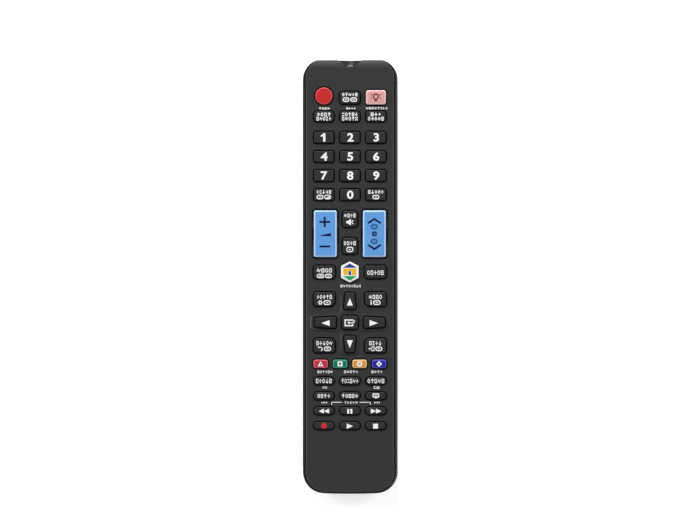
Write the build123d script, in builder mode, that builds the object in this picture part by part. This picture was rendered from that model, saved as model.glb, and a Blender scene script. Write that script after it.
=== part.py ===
from build123d import *
from math import acos, asin, atan2, ceil, copysign, cos, degrees, isclose, pi, radians, sin, sqrt, tan
import os

# A universal remote control, in millimetres. +Z is the key side, +Y is the head with its infrared scoop,
# and the back lies on Z = 0, with the origin under the middle of the body.

# Body: the outline seen from above, and the shells' walls
body_width = 48.0
body_length = 220.2
body_height = 20.0
head_corner_radius = 10.1
head_trim = 0.45
head_break_radius = 6.0
head_roll_length = 4.9
head_roll_drop = 1.8
head_edge_radius = 0.9
tail_corner_radius = 10.9
tail_bow_radius = 300.0
back_edge_radius = 6.0
inner_edge = 2.5
wall = 1.8
overrun = 1.0

# Top shell: a face plate that is drawn in along the sides, where the bottom shell's rails stand beside it
face_thickness = 2.0
face_inset = 0.4
face_half_width = 22.25
face_edge = 0.4
rail_head_y = 100.9
rail_tail_y = -98.2
rail_ramp_length = 4.0
rail_bend_radius = 4.0
rail_gap = 0.45
rail_end_cut = 2.2
rail_drop = 0.7
rail_edge_radius = 1.1
tongue_gap = 0.3
tongue_thickness = 1.2
tongue_depth = 2.4
tongue_length = 178.0
plateau_height = 0.4
plateau_length = 40.1
plateau_bar_width = 8.9
plateau_column_length = 33.3
plateau_column_width = 9.5
plateau_radii = (2.5, 2.0, 2.5)

# Snap hooks on the top shell's tongue, and the pockets in the bottom shell's wall that hold them
snap_length = 6.0
snap_height = 0.8
snap_reach = 0.65
snap_rise = 0.4
snap_clearance = 0.3
snap_pitch = 45.0
snap_rows = 4

# Locating pins under the face, and the posts that take them
pin_radius = 1.2
pin_sides = 8
pin_depth = 7.0
pin_clearance = 0.2
post_width = 5.2
post_bore_margin = 1.0
middle_pin_x = 13.0
middle_pin_row = 114.4
tail_pin_x = 12.0
tail_pin_row = 196.0

# Infrared diode and the flared scoop in the head, on one axis along Y
diode_radius = 2.5
diode_length = 8.6
diode_flange_radius = 2.9
dome_flats = 3
diode_flange_length = 1.0
diode_setback = 2.5
diode_gap = 0.15
leg_thickness = 0.5
leg_pitch = 2.54
leg_length = 3.4
scoop_front_radius = 7.4
scoop_half_angle = 32.0
scoop_wall = 1.2

# Circuit board, and the silicone mat on top of it
board_thickness = 1.2
board_z = 14.2
board_width = 40.6
board_diode_gap = 0.3
board_tail_row = 190.6
board_corner_radius = 3.0
board_hole_clearance = 0.4
mat_width = 39.6
mat_margin = 0.8
mat_corner_radius = 2.5
mat_opening_gap = 0.4
mat_notch_width = 3.0

# Ribs on the bottom shell's floor, which carry the board
rib_thickness = 1.2
rib_half_length = 19.0
rib_head_y = 86.0
rib_pitch = 25.0
rib_rows = 4
rib_tail_y = -77.0
rail_rib_x = 15.0

# Board components, on the board's underside
chip_width = 7.5
chip_length = 12.8
chip_height = 2.4
chip_gap = 0.2
chip_y = 48.0
chip_lead_pitch = 1.27
chip_lead_count = 10
chip_lead_width = 0.4
chip_lead_reach = 1.4
capacitor_radius = 3.15
capacitor_sides = 16
capacitor_length = 11.0
capacitor_x = -8.0
capacitor_y = 23.5
resonator_width = 7.4
resonator_length = 3.2
resonator_height = 5.0
resonator_x = 9.0
resonator_y = 71.0

# Cells, their bay and its contacts
cell_radius = 5.25
cell_sides = 28
cell_length = 44.5
cell_button_radius = 1.9
cell_button_sides = 16
cell_button_length = 1.0
cell_pitch = 11.3
cell_clearance = 0.25
cell_cover_gap = 0.35
bay_wall = 1.2
bay_y = -40.0
plate_thickness = 0.4
plate_width = 9.4
plate_clearance = 0.1
plate_nub_radius = 2.0
plate_nub_sides = 12
plate_nub_height = 0.4
plate_tab_width = 2.0
plate_tab_clearance = 0.2
contact_gap = 0.05
spring_length = 4.6
spring_wire_radius = 0.3
spring_base_radius = 3.6
spring_tip_radius = 2.3
spring_turns = 3.0
spring_wire_sides = 5

# Battery cover on the back: two tabs under the shell's lip at the head side, a latch tongue at the tail side
cover_width = 30.0
cover_thickness = 1.6
cover_head_margin = 5.8
latch_wall_gap = 0.7
cover_gap = 0.25
cover_corner_radius = 1.5
ledge_width = 1.2
ledge_thickness = 1.2
tab_x = 8.0
tab_width = 5.0
tab_reach = 2.6
tab_thickness = 1.25
tab_root_start = 0.4
tab_root_length = 1.4
tab_lip_gap = 0.25
trough_wall = 1.0
trough_reach = 3.0
trough_height = 3.1
trough_side_gap = 0.5
latch_width = 9.0
latch_thickness = 1.1
latch_height = 7.0
latch_leg_distance = 4.1
latch_setback = 0.9
latch_foot_length = 1.8
latch_nose_height = 1.0
latch_nose_z = 2.2
latch_nose_gap = 0.15
latch_side_gap = 0.5
latch_head_gap = 0.6
catch_depth = 0.8
catch_height = 1.8
grip_radius = 9.0
grip_depth = 1.0
grip_width = 12.0
grip_pad = 1.0

# Keys: heights and gaps that all of them share
key_rise = 1.2
key_edge = 0.4
key_gap = 0.457
key_travel = 0.85
key_stop_gap = 0.05
flange_thickness = 0.8
flange_gap = 0.1
flange_lip = 0.4
plunger_width = 3.2
rocker_ear_length = 6.0
rocker_ear_gap = 0.35
rocker_ear_thickness = 1.05
rocker_plunger_y = 9.5
rocker_tilt = 4.0

# Keys: columns across the face, and rows counted from the head edge
column_pitch = 13.2
side_column_x = 12.95
rocker_column_x = 12.45
colour_pitch = 9.9
power_row = 18.3
source_row = 19.2
light_row = 19.0
mode_row = 28.65
digit_row = 39.3
digit_pitch = 9.69
mute_row = 80.7
rocker_row = 88.2
list_row = 94.4
menu_row = 107.6
tools_row = 121.4
enter_row = 133.2
return_row = 144.85
colour_row = 154.2
function_row = 162.8
function_pitch = 7.58
arrow_across_x = 12.45
arrow_along_y = 10.95

# Keys: outlines
corner_sag = 0.14
round_points = 28
power_radius = 4.55
source_size = (10.55, 6.45)
light_size = (10.65, 7.8)
mode_size = (10.3, 5.5)
digit_size = (10.3, 6.05)
rocker_size = (12.2, 24.25)
mute_size = (7.9, 8.6)
menu_size = (11.15, 6.9)
tools_size = (11.1, 7.5)
enter_size = (8.5, 7.3)
colour_size = (7.7, 4.65)
function_size = (10.6, 4.1)
source_radius = 1.3
light_radius = 1.4
mode_radius = 1.3
digit_radius = 1.0
rocker_radius = 1.2
mute_radius = 1.5
menu_radius = 1.4
tools_radius = 1.2
tools_big_radius = 2.8
enter_radius = 1.5
colour_radius = 1.2
function_radius = 1.8
home_half_width = 4.7
home_half_height = 5.65
home_shoulder = 3.15
home_radius = 0.9
arrow_across_length = 11.15
arrow_across_inner = 6.2
arrow_across_outer = 5.0
arrow_along_length = 8.85
arrow_along_inner = 6.5
arrow_along_outer = 5.0
arrow_radius = 1.0

# Heights and places that follow from the sizes above
head_y = body_length / 2
tail_y = -body_length / 2
face_z = body_height - face_thickness
board_top = board_z + board_thickness
diode_z = board_z + board_thickness / 2
parting_z = diode_z
tongue_z = parting_z - tongue_depth
flange_top = face_z - flange_gap
flange_z = flange_top - flange_thickness
mat_thickness = flange_z - key_travel - key_stop_gap - board_top
plunger_z = board_top + key_travel + key_stop_gap
cell_z = cover_thickness + cell_cover_gap + cell_radius
bay_half_width = cell_pitch / 2 + cell_radius + cell_clearance
bay_length = cell_length + spring_length + plate_nub_height + contact_gap
bay_head_y = bay_y + bay_length / 2
bay_tail_y = bay_y - bay_length / 2
plate_recess = plate_thickness + plate_clearance
bay_top = cell_z + cell_radius + cell_clearance + bay_wall
cover_head_y = bay_head_y + cover_head_margin
latch_reach = latch_setback + latch_leg_distance + latch_thickness
cover_tail_y = bay_tail_y - plate_recess - bay_wall - latch_wall_gap - latch_reach
cover_y = (cover_head_y + cover_tail_y) / 2
diode_tip_y = head_y - diode_setback
diode_base_y = diode_tip_y - diode_length
board_head_y = diode_base_y - board_diode_gap
board_tail_y = head_y - board_tail_row

os.makedirs("parts", exist_ok=True)


def save(piece, name):
    """Labels a finished piece and writes it."""
    piece.label = name
    export_step(piece, f"parts/{name}.step")


def body_plan(inset):
    """The body's outline, drawn in by inset: straight sides, a trimmed head edge and a bowed tail."""
    head_arc_x = body_width / 2 - head_corner_radius
    head_arc_y = head_y + head_trim - head_corner_radius
    head_arc_radius = head_corner_radius - inset
    head_sweep = degrees(asin((head_y - inset - head_arc_y) / head_arc_radius))
    tail_arc_x = body_width / 2 - tail_corner_radius
    bow_reach = tail_bow_radius - tail_corner_radius
    bow_y = tail_y + tail_bow_radius
    tail_arc_y = bow_y - sqrt(bow_reach**2 - tail_arc_x**2)
    bow_sweep = degrees(asin(tail_arc_x / bow_reach))
    with BuildSketch() as plan:
        with BuildLine():
            tail_arc = CenterArc(
                (tail_arc_x, tail_arc_y), tail_corner_radius - inset, bow_sweep - 90, 90 - bow_sweep
            )
            CenterArc((0, bow_y), tail_bow_radius - inset, -90, bow_sweep)
            head_arc = CenterArc((head_arc_x, head_arc_y), head_arc_radius, 0, head_sweep)
            Line(tail_arc @ 1, head_arc @ 0)
            Line(head_arc @ 1, (0, head_y - inset))
            mirror(about=Plane.YZ)
        make_face()
        head_corners = plan.vertices().group_by(Axis.Y)[-1].sort_by(Axis.X)
        fillet([head_corners[0], head_corners[-1]], head_break_radius)
    return plan.sketch


def face_plan():
    """The top shell's outline: flush at the head, just inside elsewhere, and drawn in for the rails."""
    ramp_x = body_width / 2
    with BuildSketch() as plan:
        with Locations((0, face_inset)):
            add(body_plan(face_inset))
        with BuildSketch(mode=Mode.SUBTRACT):
            with BuildLine():
                Polyline(
                    (ramp_x, rail_tail_y),
                    (face_half_width, rail_tail_y + rail_ramp_length),
                    (face_half_width, rail_head_y - rail_ramp_length),
                    (ramp_x, rail_head_y),
                    close=True,
                )
            make_face()
            mirror(about=Plane.YZ)
        bends = [v for v in plan.vertices() if isclose(abs(v.X), face_half_width)]
        fillet(bends, rail_bend_radius)
    return plan.sketch


def rail_plan():
    """What the bottom shell's side rails fill: the body's outline less the face and the groove beside it."""
    with BuildSketch() as plan:
        add(body_plan(0))
        with Locations((0, (rail_head_y + rail_tail_y) / 2)):
            Rectangle(body_width, rail_head_y - rail_tail_y - 2 * rail_end_cut, mode=Mode.INTERSECT)
        add(offset(face_plan(), amount=rail_gap, mode=Mode.PRIVATE), mode=Mode.SUBTRACT)
    return plan.sketch


def tray_form(inset):
    """The bottom shell's form, drawn in by inset on every side."""
    with BuildPart() as form:
        with BuildSketch(Plane.XY.offset(inset)):
            add(body_plan(inset))
        extrude(amount=parting_z - inset)
    return form.part


def scoop_form(grow, plan, low, high):
    """The scoop's flare and the diode's bore, grown by grow and cut to a plan between two heights."""
    flare_length = (scoop_front_radius - diode_radius - diode_gap) / tan(radians(scoop_half_angle))
    bore_length = diode_length - diode_flange_length + diode_setback - diode_gap - flare_length
    mouth_growth = overrun * tan(radians(scoop_half_angle))
    mouth = Plane(origin=(0, head_y + overrun, diode_z), x_dir=(1, 0, 0), z_dir=(0, -1, 0))
    with BuildPart() as form:
        with BuildSketch(mouth):
            Circle(scoop_front_radius + mouth_growth + grow)
        with BuildSketch(mouth.offset(overrun + flare_length)):
            Circle(diode_radius + diode_gap + grow)
        loft()
        with BuildSketch(mouth.offset(overrun + flare_length)):
            Circle(diode_radius + diode_gap + grow)
        extrude(amount=bore_length)
        with BuildSketch(Plane.XY.offset(low)):
            add(plan)
        extrude(amount=high - low, mode=Mode.INTERSECT)
    return form.part


def pin_places():
    """Where the locating pins stand: a pair in the middle and a pair at the tail."""
    rows = ((middle_pin_x, middle_pin_row), (tail_pin_x, tail_pin_row))
    return [(side * x, head_y - row) for x, row in rows for side in (-1, 1)]


def snap_places():
    """Where the snap hooks stand along one side."""
    first = -(snap_rows - 1) / 2
    return [(first + row) * snap_pitch for row in range(snap_rows)]


def soft_outline(corners, radii):
    """An outline with rounded corners, counter-clockwise: for each point its corner's centre, its direction
    from there and the corner's radius, which is negative in an inner corner. The flats between the points
    stay within a small sag of the arc."""
    outline = []
    for index, corner_radius in enumerate(radii):
        before, corner, after = (Vector(*corners[(index + step) % len(corners)]) for step in (-1, 0, 1))
        ahead = (corner - before).normalized()
        beyond = (after - corner).normalized()
        turn = degrees(atan2(ahead.cross(beyond).Z, ahead.dot(beyond)))
        radius = copysign(corner_radius, turn)
        outward = ahead.rotate(Axis.Z, -90)
        bisector = outward.rotate(Axis.Z, turn / 2)
        centre = corner - bisector * (radius / cos(radians(turn / 2)))
        flats = ceil(abs(turn) / 2 / degrees(acos(1 - corner_sag / corner_radius)))
        for flat in range(flats + 1):
            outline.append((centre, outward.rotate(Axis.Z, turn * flat / flats), radius))
    return outline


def rounded_outline(size, *radii):
    """A rectangle's outline with rounded corners, with a radius for each from the head's right corner on."""
    x, y = size[0] / 2, size[1] / 2
    return soft_outline(((x, y), (-x, y), (-x, -y), (x, -y)), radii)


def even_outline(size, radius):
    """A rectangle's outline with four like corners."""
    return rounded_outline(size, radius, radius, radius, radius)


def home_outline():
    """The home key's outline: a hexagon that stands on its point."""
    corners = (
        (0, home_half_height),
        (-home_half_width, home_shoulder),
        (-home_half_width, -home_shoulder),
        (0, -home_half_height),
        (home_half_width, -home_shoulder),
        (home_half_width, home_shoulder),
    )
    return soft_outline(corners, len(corners) * (home_radius,))


def arrow_outline(length, inner, outer, turn):
    """An arrow key's outline: it narrows away from the middle, and turn points it left, down or right."""
    corners = ((outer, length), (-outer, length), (-inner, -length), (inner, -length))
    turned = [Vector(x / 2, y / 2).rotate(Axis.Z, turn) for x, y in corners]
    return soft_outline([(v.X, v.Y) for v in turned], 4 * (arrow_radius,))


def plateau_outline():
    """The cross-shaped plateau's outline round the navigation keys."""
    end, top = plateau_length / 2, plateau_column_length / 2
    side, edge = plateau_column_width / 2, plateau_bar_width / 2
    quarter = ((end, edge), (side, edge), (side, top))
    corners = list(quarter)
    corners += [(-x, y) for x, y in reversed(quarter)]
    corners += [(-x, -y) for x, y in quarter]
    corners += [(x, -y) for x, y in reversed(quarter)]
    return soft_outline(corners, 2 * (*plateau_radii, *reversed(plateau_radii)))


def round_outline(radius):
    """The power key's outline: the points of a circle."""
    step = 360 / round_points
    return [(Vector(), Vector(1, 0).rotate(Axis.Z, step * point), radius) for point in range(round_points)]


def outline_plan(outline, grow=0):
    """An outline as a face, grown by grow on every side."""
    with BuildSketch() as plan:
        with BuildLine():
            Polyline([centre + outward * (radius + grow) for centre, outward, radius in outline], close=True)
        make_face()
    return plan.sketch


def key_table():
    """Every key: its name, its place across, its row from the head, its outline, and whether it rises on the
    navigation plateau."""
    across = (-column_pitch, 0, column_pitch)
    digit = even_outline(digit_size, digit_radius)
    mode = even_outline(mode_size, mode_radius)
    mute = even_outline(mute_size, mute_radius)
    menu = even_outline(menu_size, menu_radius)
    colour = even_outline(colour_size, colour_radius)
    function = even_outline(function_size, function_radius)
    arrow_across = (arrow_across_length, arrow_across_inner, arrow_across_outer)
    arrow_along = (arrow_along_length, arrow_along_inner, arrow_along_outer)
    keys = [
        ("power_key", -column_pitch, power_row, round_outline(power_radius), False),
        ("source_key", 0, source_row, even_outline(source_size, source_radius), False),
        ("light_key", column_pitch, light_row, even_outline(light_size, light_radius), False),
        ("mute_key", 0, mute_row, mute, False),
        ("channel_list_key", 0, list_row, mute, False),
        ("menu_key", -side_column_x, menu_row, menu, False),
        ("home_key", 0, menu_row, home_outline(), False),
        ("guide_key", side_column_x, menu_row, menu, False),
        ("up_key", 0, enter_row - arrow_along_y, arrow_outline(*arrow_along, 0), True),
        ("down_key", 0, enter_row + arrow_along_y, arrow_outline(*arrow_along, 180), True),
        ("left_key", -arrow_across_x, enter_row, arrow_outline(*arrow_across, 90), True),
        ("right_key", arrow_across_x, enter_row, arrow_outline(*arrow_across, -90), True),
        ("enter_key", 0, enter_row, even_outline(enter_size, enter_radius), True),
    ]
    corner_keys = (
        ("tools_key", -1, tools_row, 3),
        ("info_key", 1, tools_row, 2),
        ("return_key", -1, return_row, 0),
        ("exit_key", 1, return_row, 1),
    )
    for name, side, row, inner_corner in corner_keys:
        radii = [tools_big_radius if corner == inner_corner else tools_radius for corner in range(4)]
        keys.append((name, side * side_column_x, row, rounded_outline(tools_size, *radii), False))
    for name, x in zip(("mode_key", "help_key", "web_key"), across):
        keys.append((name, x, mode_row, mode, False))
    digits = ("1", "2", "3", "4", "5", "6", "7", "8", "9", "teletext", "0", "previous_channel")
    for index, mark in enumerate(digits):
        name = f"digit_{mark}_key" if mark.isdigit() else f"{mark}_key"
        keys.append((name, across[index % 3], digit_row + index // 3 * digit_pitch, digit, False))
    for index, name in enumerate(("red_key", "green_key", "yellow_key", "blue_key")):
        place = (2 * index - 3) / 2
        keys.append((name, place * colour_pitch, colour_row, colour, False))
    functions = (
        ("history_key", "album_key", "camera_key"),
        ("sound_key", "subtitle_key", "screen_key"),
        ("rewind_key", "pause_key", "forward_key"),
        ("record_key", "play_key", "stop_key"),
    )
    for index, names in enumerate(functions):
        for name, x in zip(names, across):
            keys.append((name, x, function_row + index * function_pitch, function, False))
    return keys


rocker_outline = even_outline(rocker_size, rocker_radius)
rockers = (("volume_rocker", -rocker_column_x), ("channel_rocker", rocker_column_x))
press_keys = key_table()
rocker_y = head_y - rocker_row


def rib_lines():
    """The cross ribs' places along the body: evenly spaced in the head half, and one behind the bay."""
    return [rib_head_y - row * rib_pitch for row in range(rib_rows)] + [rib_tail_y]


# Bottom shell: a deep tray with side rails, ribs, pin posts, and the battery bay that opens to the back
with BuildPart() as bottom_shell:
    add(tray_form(0))
    fillet(bottom_shell.edges().group_by(Axis.Z)[0], back_edge_radius)
    with BuildPart(mode=Mode.SUBTRACT) as hollow:
        add(tray_form(wall))
        chamfer(hollow.edges().group_by(Axis.Z)[0], inner_edge)
    with BuildSketch(Plane.XY.offset(parting_z)):
        add(rail_plan())
    extrude(amount=body_height - rail_drop - parting_z)
    rail_edges = [
        edge
        for edge in bottom_shell.edges().group_by(Axis.Z)[-1]
        if isclose(abs(edge.center().X), body_width / 2)
    ]
    fillet(rail_edges, rail_edge_radius)
    # Board ribs and pin posts
    with BuildSketch(Plane.XY.offset(wall)):
        with Locations([(0, y) for y in rib_lines()]):
            Rectangle(2 * rib_half_length, rib_thickness)
        rail_rib_length = (rib_rows - 1) * rib_pitch
        with Locations([(side * rail_rib_x, rib_head_y - rail_rib_length / 2) for side in (-1, 1)]):
            Rectangle(rib_thickness, rail_rib_length)
    extrude(amount=board_z - wall)
    with BuildSketch(Plane.XY.offset(wall)):
        with Locations(pin_places()):
            Rectangle(post_width, post_width)
    extrude(amount=board_z - wall)
    # The bay's ledge, block, tab trough and latch pocket, all solid at first
    with BuildSketch(Plane.XY.offset(wall)):
        with Locations((0, cover_y)):
            Rectangle(
                cover_width + 2 * (cover_gap + ledge_width),
                cover_head_y - cover_tail_y + 2 * (cover_gap + ledge_width),
            )
    extrude(amount=ledge_thickness)
    with BuildSketch(Plane.XY.offset(wall)):
        with Locations((0, bay_y)):
            Rectangle(2 * (bay_half_width + bay_wall), bay_length + 2 * (plate_recess + bay_wall))
    extrude(amount=bay_top - wall)
    trough_half_width = tab_x + tab_width / 2 + trough_side_gap
    trough_tail_y = bay_head_y + plate_recess + bay_wall
    trough_head_y = cover_head_y + trough_reach
    with BuildSketch(Plane.XY.offset(wall)):
        with Locations((0, (trough_tail_y + trough_head_y + trough_wall) / 2)):
            Rectangle(2 * (trough_half_width + trough_wall), trough_head_y + trough_wall - trough_tail_y)
    extrude(amount=trough_height + trough_wall)
    pocket_half_width = latch_width / 2 + latch_side_gap
    pocket_head_y = bay_tail_y - plate_recess - bay_wall
    pocket_tail_y = cover_tail_y - cover_gap
    pocket_top = latch_height + latch_head_gap
    pocket_block_tail_y = pocket_tail_y - catch_depth - trough_wall
    with BuildSketch(Plane.XY.offset(wall)):
        with Locations((0, (pocket_head_y + pocket_block_tail_y) / 2)):
            Rectangle(2 * (pocket_half_width + trough_wall), pocket_head_y - pocket_block_tail_y)
    extrude(amount=pocket_top + trough_wall - wall)
    with BuildSketch(Plane.XY.offset(wall)):
        with Locations((0, pocket_tail_y - grip_width / 2)):
            Rectangle(grip_width + 2 * grip_pad, grip_width)
    extrude(amount=grip_pad)
    # The opening for the cover, and the room behind it
    with BuildSketch():
        with Locations((0, cover_y)):
            RectangleRounded(
                cover_width + 2 * cover_gap,
                cover_head_y - cover_tail_y + 2 * cover_gap,
                cover_corner_radius + cover_gap,
            )
    extrude(amount=wall, mode=Mode.SUBTRACT)
    with BuildSketch():
        with Locations((0, bay_y)):
            Rectangle(2 * bay_half_width, bay_length)
    extrude(amount=cell_z, mode=Mode.SUBTRACT)
    with BuildSketch(Plane((0, bay_head_y, cell_z), x_dir=(1, 0, 0), z_dir=(0, -1, 0))):
        with Locations((-cell_pitch / 2, 0), (cell_pitch / 2, 0)):
            Circle(cell_radius + cell_clearance)
    extrude(amount=bay_length, mode=Mode.SUBTRACT)
    with BuildSketch():
        with Locations((0, (trough_tail_y + trough_head_y) / 2)):
            Rectangle(2 * trough_half_width, trough_head_y - trough_tail_y)
        with Locations((0, cover_head_y + cover_gap + trough_reach)):
            Rectangle(2 * trough_half_width, 2 * trough_reach, mode=Mode.SUBTRACT)
    extrude(amount=wall, mode=Mode.SUBTRACT)
    with BuildSketch(Plane.XY.offset(wall)):
        with Locations((0, (trough_tail_y + trough_head_y) / 2)):
            Rectangle(2 * trough_half_width, trough_head_y - trough_tail_y)
    extrude(amount=trough_height, mode=Mode.SUBTRACT)
    with BuildSketch():
        with Locations((0, (pocket_head_y + pocket_tail_y) / 2)):
            Rectangle(2 * pocket_half_width, pocket_head_y - pocket_tail_y)
    extrude(amount=pocket_top, mode=Mode.SUBTRACT)
    with BuildSketch(Plane.XY.offset(wall)):
        with Locations((0, pocket_tail_y)):
            Rectangle(2 * pocket_half_width, 2 * catch_depth)
    extrude(amount=catch_height, mode=Mode.SUBTRACT)
    # Recesses in the bay's ends for the contact plates, and slots for their solder tabs
    plate_half_height = plate_width / 2
    with BuildSketch():
        with Locations((-cell_pitch / 2, bay_head_y), (cell_pitch / 2, bay_head_y)):
            Rectangle(plate_width + 2 * plate_clearance, 2 * plate_recess)
        with Locations((0, bay_tail_y)):
            Rectangle(cell_pitch + plate_width + 2 * plate_clearance, 2 * plate_recess)
    extrude(amount=cell_z + plate_half_height + plate_clearance, mode=Mode.SUBTRACT)
    with BuildSketch(Plane.XY.offset(cell_z)):
        with Locations((-cell_pitch / 2, bay_head_y), (cell_pitch / 2, bay_head_y)):
            Rectangle(plate_tab_width + 2 * plate_tab_clearance, 2 * plate_recess)
    extrude(amount=bay_top - cell_z, mode=Mode.SUBTRACT)
    # The finger grip beside the latch: a shallow hollow in the back
    grip_centre_z = grip_depth - grip_radius
    with BuildSketch(Plane.YZ.offset(-grip_width / 2)):
        with Locations((pocket_tail_y, grip_centre_z)):
            Circle(grip_radius)
    extrude(amount=grip_width, mode=Mode.SUBTRACT)
    # The lower half of the scoop and its cup, the pins' bores and the snap hooks' pockets
    add(scoop_form(scoop_wall, body_plan(0), wall, parting_z))
    add(scoop_form(0, body_plan(-overrun), wall, parting_z + overrun), mode=Mode.SUBTRACT)
    with BuildSketch(Plane.XY.offset(face_z - pin_depth - post_bore_margin)):
        with Locations(pin_places()):
            RegularPolygon(pin_radius + pin_clearance, pin_sides)
    extrude(amount=board_z, mode=Mode.SUBTRACT)
    pocket_x = body_width / 2 - wall
    snap_pocket = snap_reach - tongue_gap + snap_clearance
    with BuildSketch(Plane.XY.offset(tongue_z + snap_rise - snap_clearance)):
        with Locations([(side * pocket_x, y) for y in snap_places() for side in (-1, 1)]):
            Rectangle(2 * snap_pocket, snap_length + 2 * snap_clearance)
    extrude(amount=snap_height + 2 * snap_clearance, mode=Mode.SUBTRACT)
save(bottom_shell.part, "bottom_shell")

# Top shell: the face plate with its key openings and plateau, a skirt at the ends, and an inner tongue
with BuildPart() as top_shell:
    with BuildSketch(Plane.XY.offset(parting_z)):
        add(face_plan())
    extrude(amount=body_height - parting_z)
    chamfer(top_shell.edges().group_by(Axis.Z)[-1], face_edge)
    # The soft head end: the face rolls off along a wide arc and turns down in a tight one
    with BuildSketch(Plane.YZ.offset(-body_width / 2)):
        with BuildLine():
            roll_y = head_y - head_roll_length
            edge_z = body_height - head_roll_drop
            roll_run = head_roll_length - head_edge_radius
            roll_turn = 2 * atan2(head_roll_drop - head_edge_radius, roll_run)
            roll_radius = roll_run / sin(roll_turn) + head_edge_radius
            edge_turn = 90 - degrees(roll_turn)
            roll = CenterArc((roll_y, body_height - roll_radius), roll_radius, edge_turn, degrees(roll_turn))
            edge = CenterArc((head_y - head_edge_radius, edge_z), head_edge_radius, 0, edge_turn)
            Polyline(
                roll @ 1,
                (roll_y, body_height + overrun),
                (head_y + overrun, body_height + overrun),
                (head_y + overrun, edge_z),
                edge @ 0,
            )
        make_face()
    extrude(amount=body_width, mode=Mode.SUBTRACT)
    # The hollow under the face, and a tongue along each side that drops inside the bottom shell's wall
    hook_x = body_width / 2 - wall - tongue_gap
    hollow = body_plan(wall + tongue_gap + tongue_thickness)
    with BuildSketch(Plane.XY.offset(parting_z)):
        add(hollow)
    extrude(amount=face_z - parting_z, mode=Mode.SUBTRACT)
    with BuildSketch(Plane.XY.offset(tongue_z)):
        with Locations([(side * (hook_x - tongue_thickness / 2), 0) for side in (-1, 1)]):
            Rectangle(tongue_thickness, tongue_length)
    extrude(amount=face_z - tongue_z)
    with BuildSketch(Plane.XY.offset(tongue_z + snap_rise)):
        with Locations([(side * hook_x, y) for y in snap_places() for side in (-1, 1)]):
            Rectangle(2 * snap_reach, snap_length)
    extrude(amount=snap_height)
    # The locating pins
    with BuildSketch(Plane.XY.offset(face_z - pin_depth)):
        with Locations(pin_places()):
            RegularPolygon(pin_radius, pin_sides)
    extrude(amount=pin_depth)
    # The cross-shaped plateau round the navigation keys
    for rise in (0, plateau_height):
        with BuildSketch(Plane((0, head_y - enter_row, body_height + rise))):
            add(outline_plan(plateau_outline(), -rise))
    loft(ruled=True)
    # The upper half of the scoop and its cup
    add(scoop_form(scoop_wall, face_plan(), parting_z, face_z))
    add(scoop_form(0, body_plan(-overrun), parting_z - overrun, body_height + overrun), mode=Mode.SUBTRACT)
    # The key openings
    with BuildSketch(Plane.XY.offset(face_z)):
        for name, x, row, outline, raised in press_keys:
            with Locations((x, head_y - row)):
                add(outline_plan(outline, key_gap))
        for name, x in rockers:
            with Locations((x, rocker_y)):
                add(outline_plan(rocker_outline, key_gap))
    extrude(amount=face_thickness + plateau_height, mode=Mode.SUBTRACT)
save(top_shell.part, "top_shell")


def press_key(name, x, row, outline, raised):
    """One press key: a cap with a bevelled top, a flange under the face, and a plunger over the board."""
    y = head_y - row
    top_z = body_height + key_rise + (plateau_height if raised else 0)
    plan = outline_plan(outline)
    size = plan.bounding_box().size
    lip = 2 * (key_gap + flange_lip)
    with BuildPart() as key:
        with BuildSketch(Plane((x, y, flange_z))):
            add(plan)
        extrude(amount=top_z - flange_z)
        chamfer(key.edges().group_by(Axis.Z)[-1], key_edge)
        with BuildSketch(Plane((x, y, flange_z))):
            Rectangle(size.X + lip, size.Y + lip)
        extrude(amount=flange_thickness)
        with BuildSketch(Plane((x, y, plunger_z))):
            Rectangle(plunger_width, plunger_width)
        extrude(amount=flange_z - plunger_z)
    save(key.part, name)


for key_row in press_keys:
    press_key(*key_row)

# Rocker keys: each tilts about an axis across its middle, on two ears under the face
rocker_stop = (rocker_plunger_y + plunger_width / 2) * sin(radians(rocker_tilt)) + key_stop_gap
for rocker_name, rocker_x in rockers:
    with BuildPart() as rocker:
        with BuildSketch(Plane((rocker_x, rocker_y, flange_z))):
            add(outline_plan(rocker_outline))
        extrude(amount=body_height + key_rise - flange_z)
        chamfer(rocker.edges().group_by(Axis.Z)[-1], key_edge)
        ear_top = face_z - rocker_ear_gap
        with BuildSketch(Plane((rocker_x, rocker_y, ear_top - rocker_ear_thickness))):
            Rectangle(rocker_size[0] + 2 * (key_gap + flange_lip), rocker_ear_length)
        extrude(amount=rocker_ear_thickness)
        with BuildSketch(Plane((rocker_x, rocker_y, board_top + rocker_stop))):
            with Locations((0, -rocker_plunger_y), (0, rocker_plunger_y)):
                Rectangle(plunger_width, plunger_width)
        extrude(amount=flange_z - board_top - rocker_stop)
    save(rocker.part, rocker_name)

# Circuit board, with holes for the pins that pass it
board_y = (board_head_y + board_tail_y) / 2
board_length = board_head_y - board_tail_y
with BuildPart() as circuit_board:
    with BuildSketch(Plane.XY.offset(board_z)):
        with Locations((0, board_y)):
            add(outline_plan(even_outline((board_width, board_length), board_corner_radius)))
        with Locations([place for place in pin_places() if board_tail_y < place[1] < board_head_y]):
            RegularPolygon(pin_radius + board_hole_clearance, pin_sides, mode=Mode.SUBTRACT)
    extrude(amount=board_thickness)
save(circuit_board.part, "circuit_board")

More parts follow.
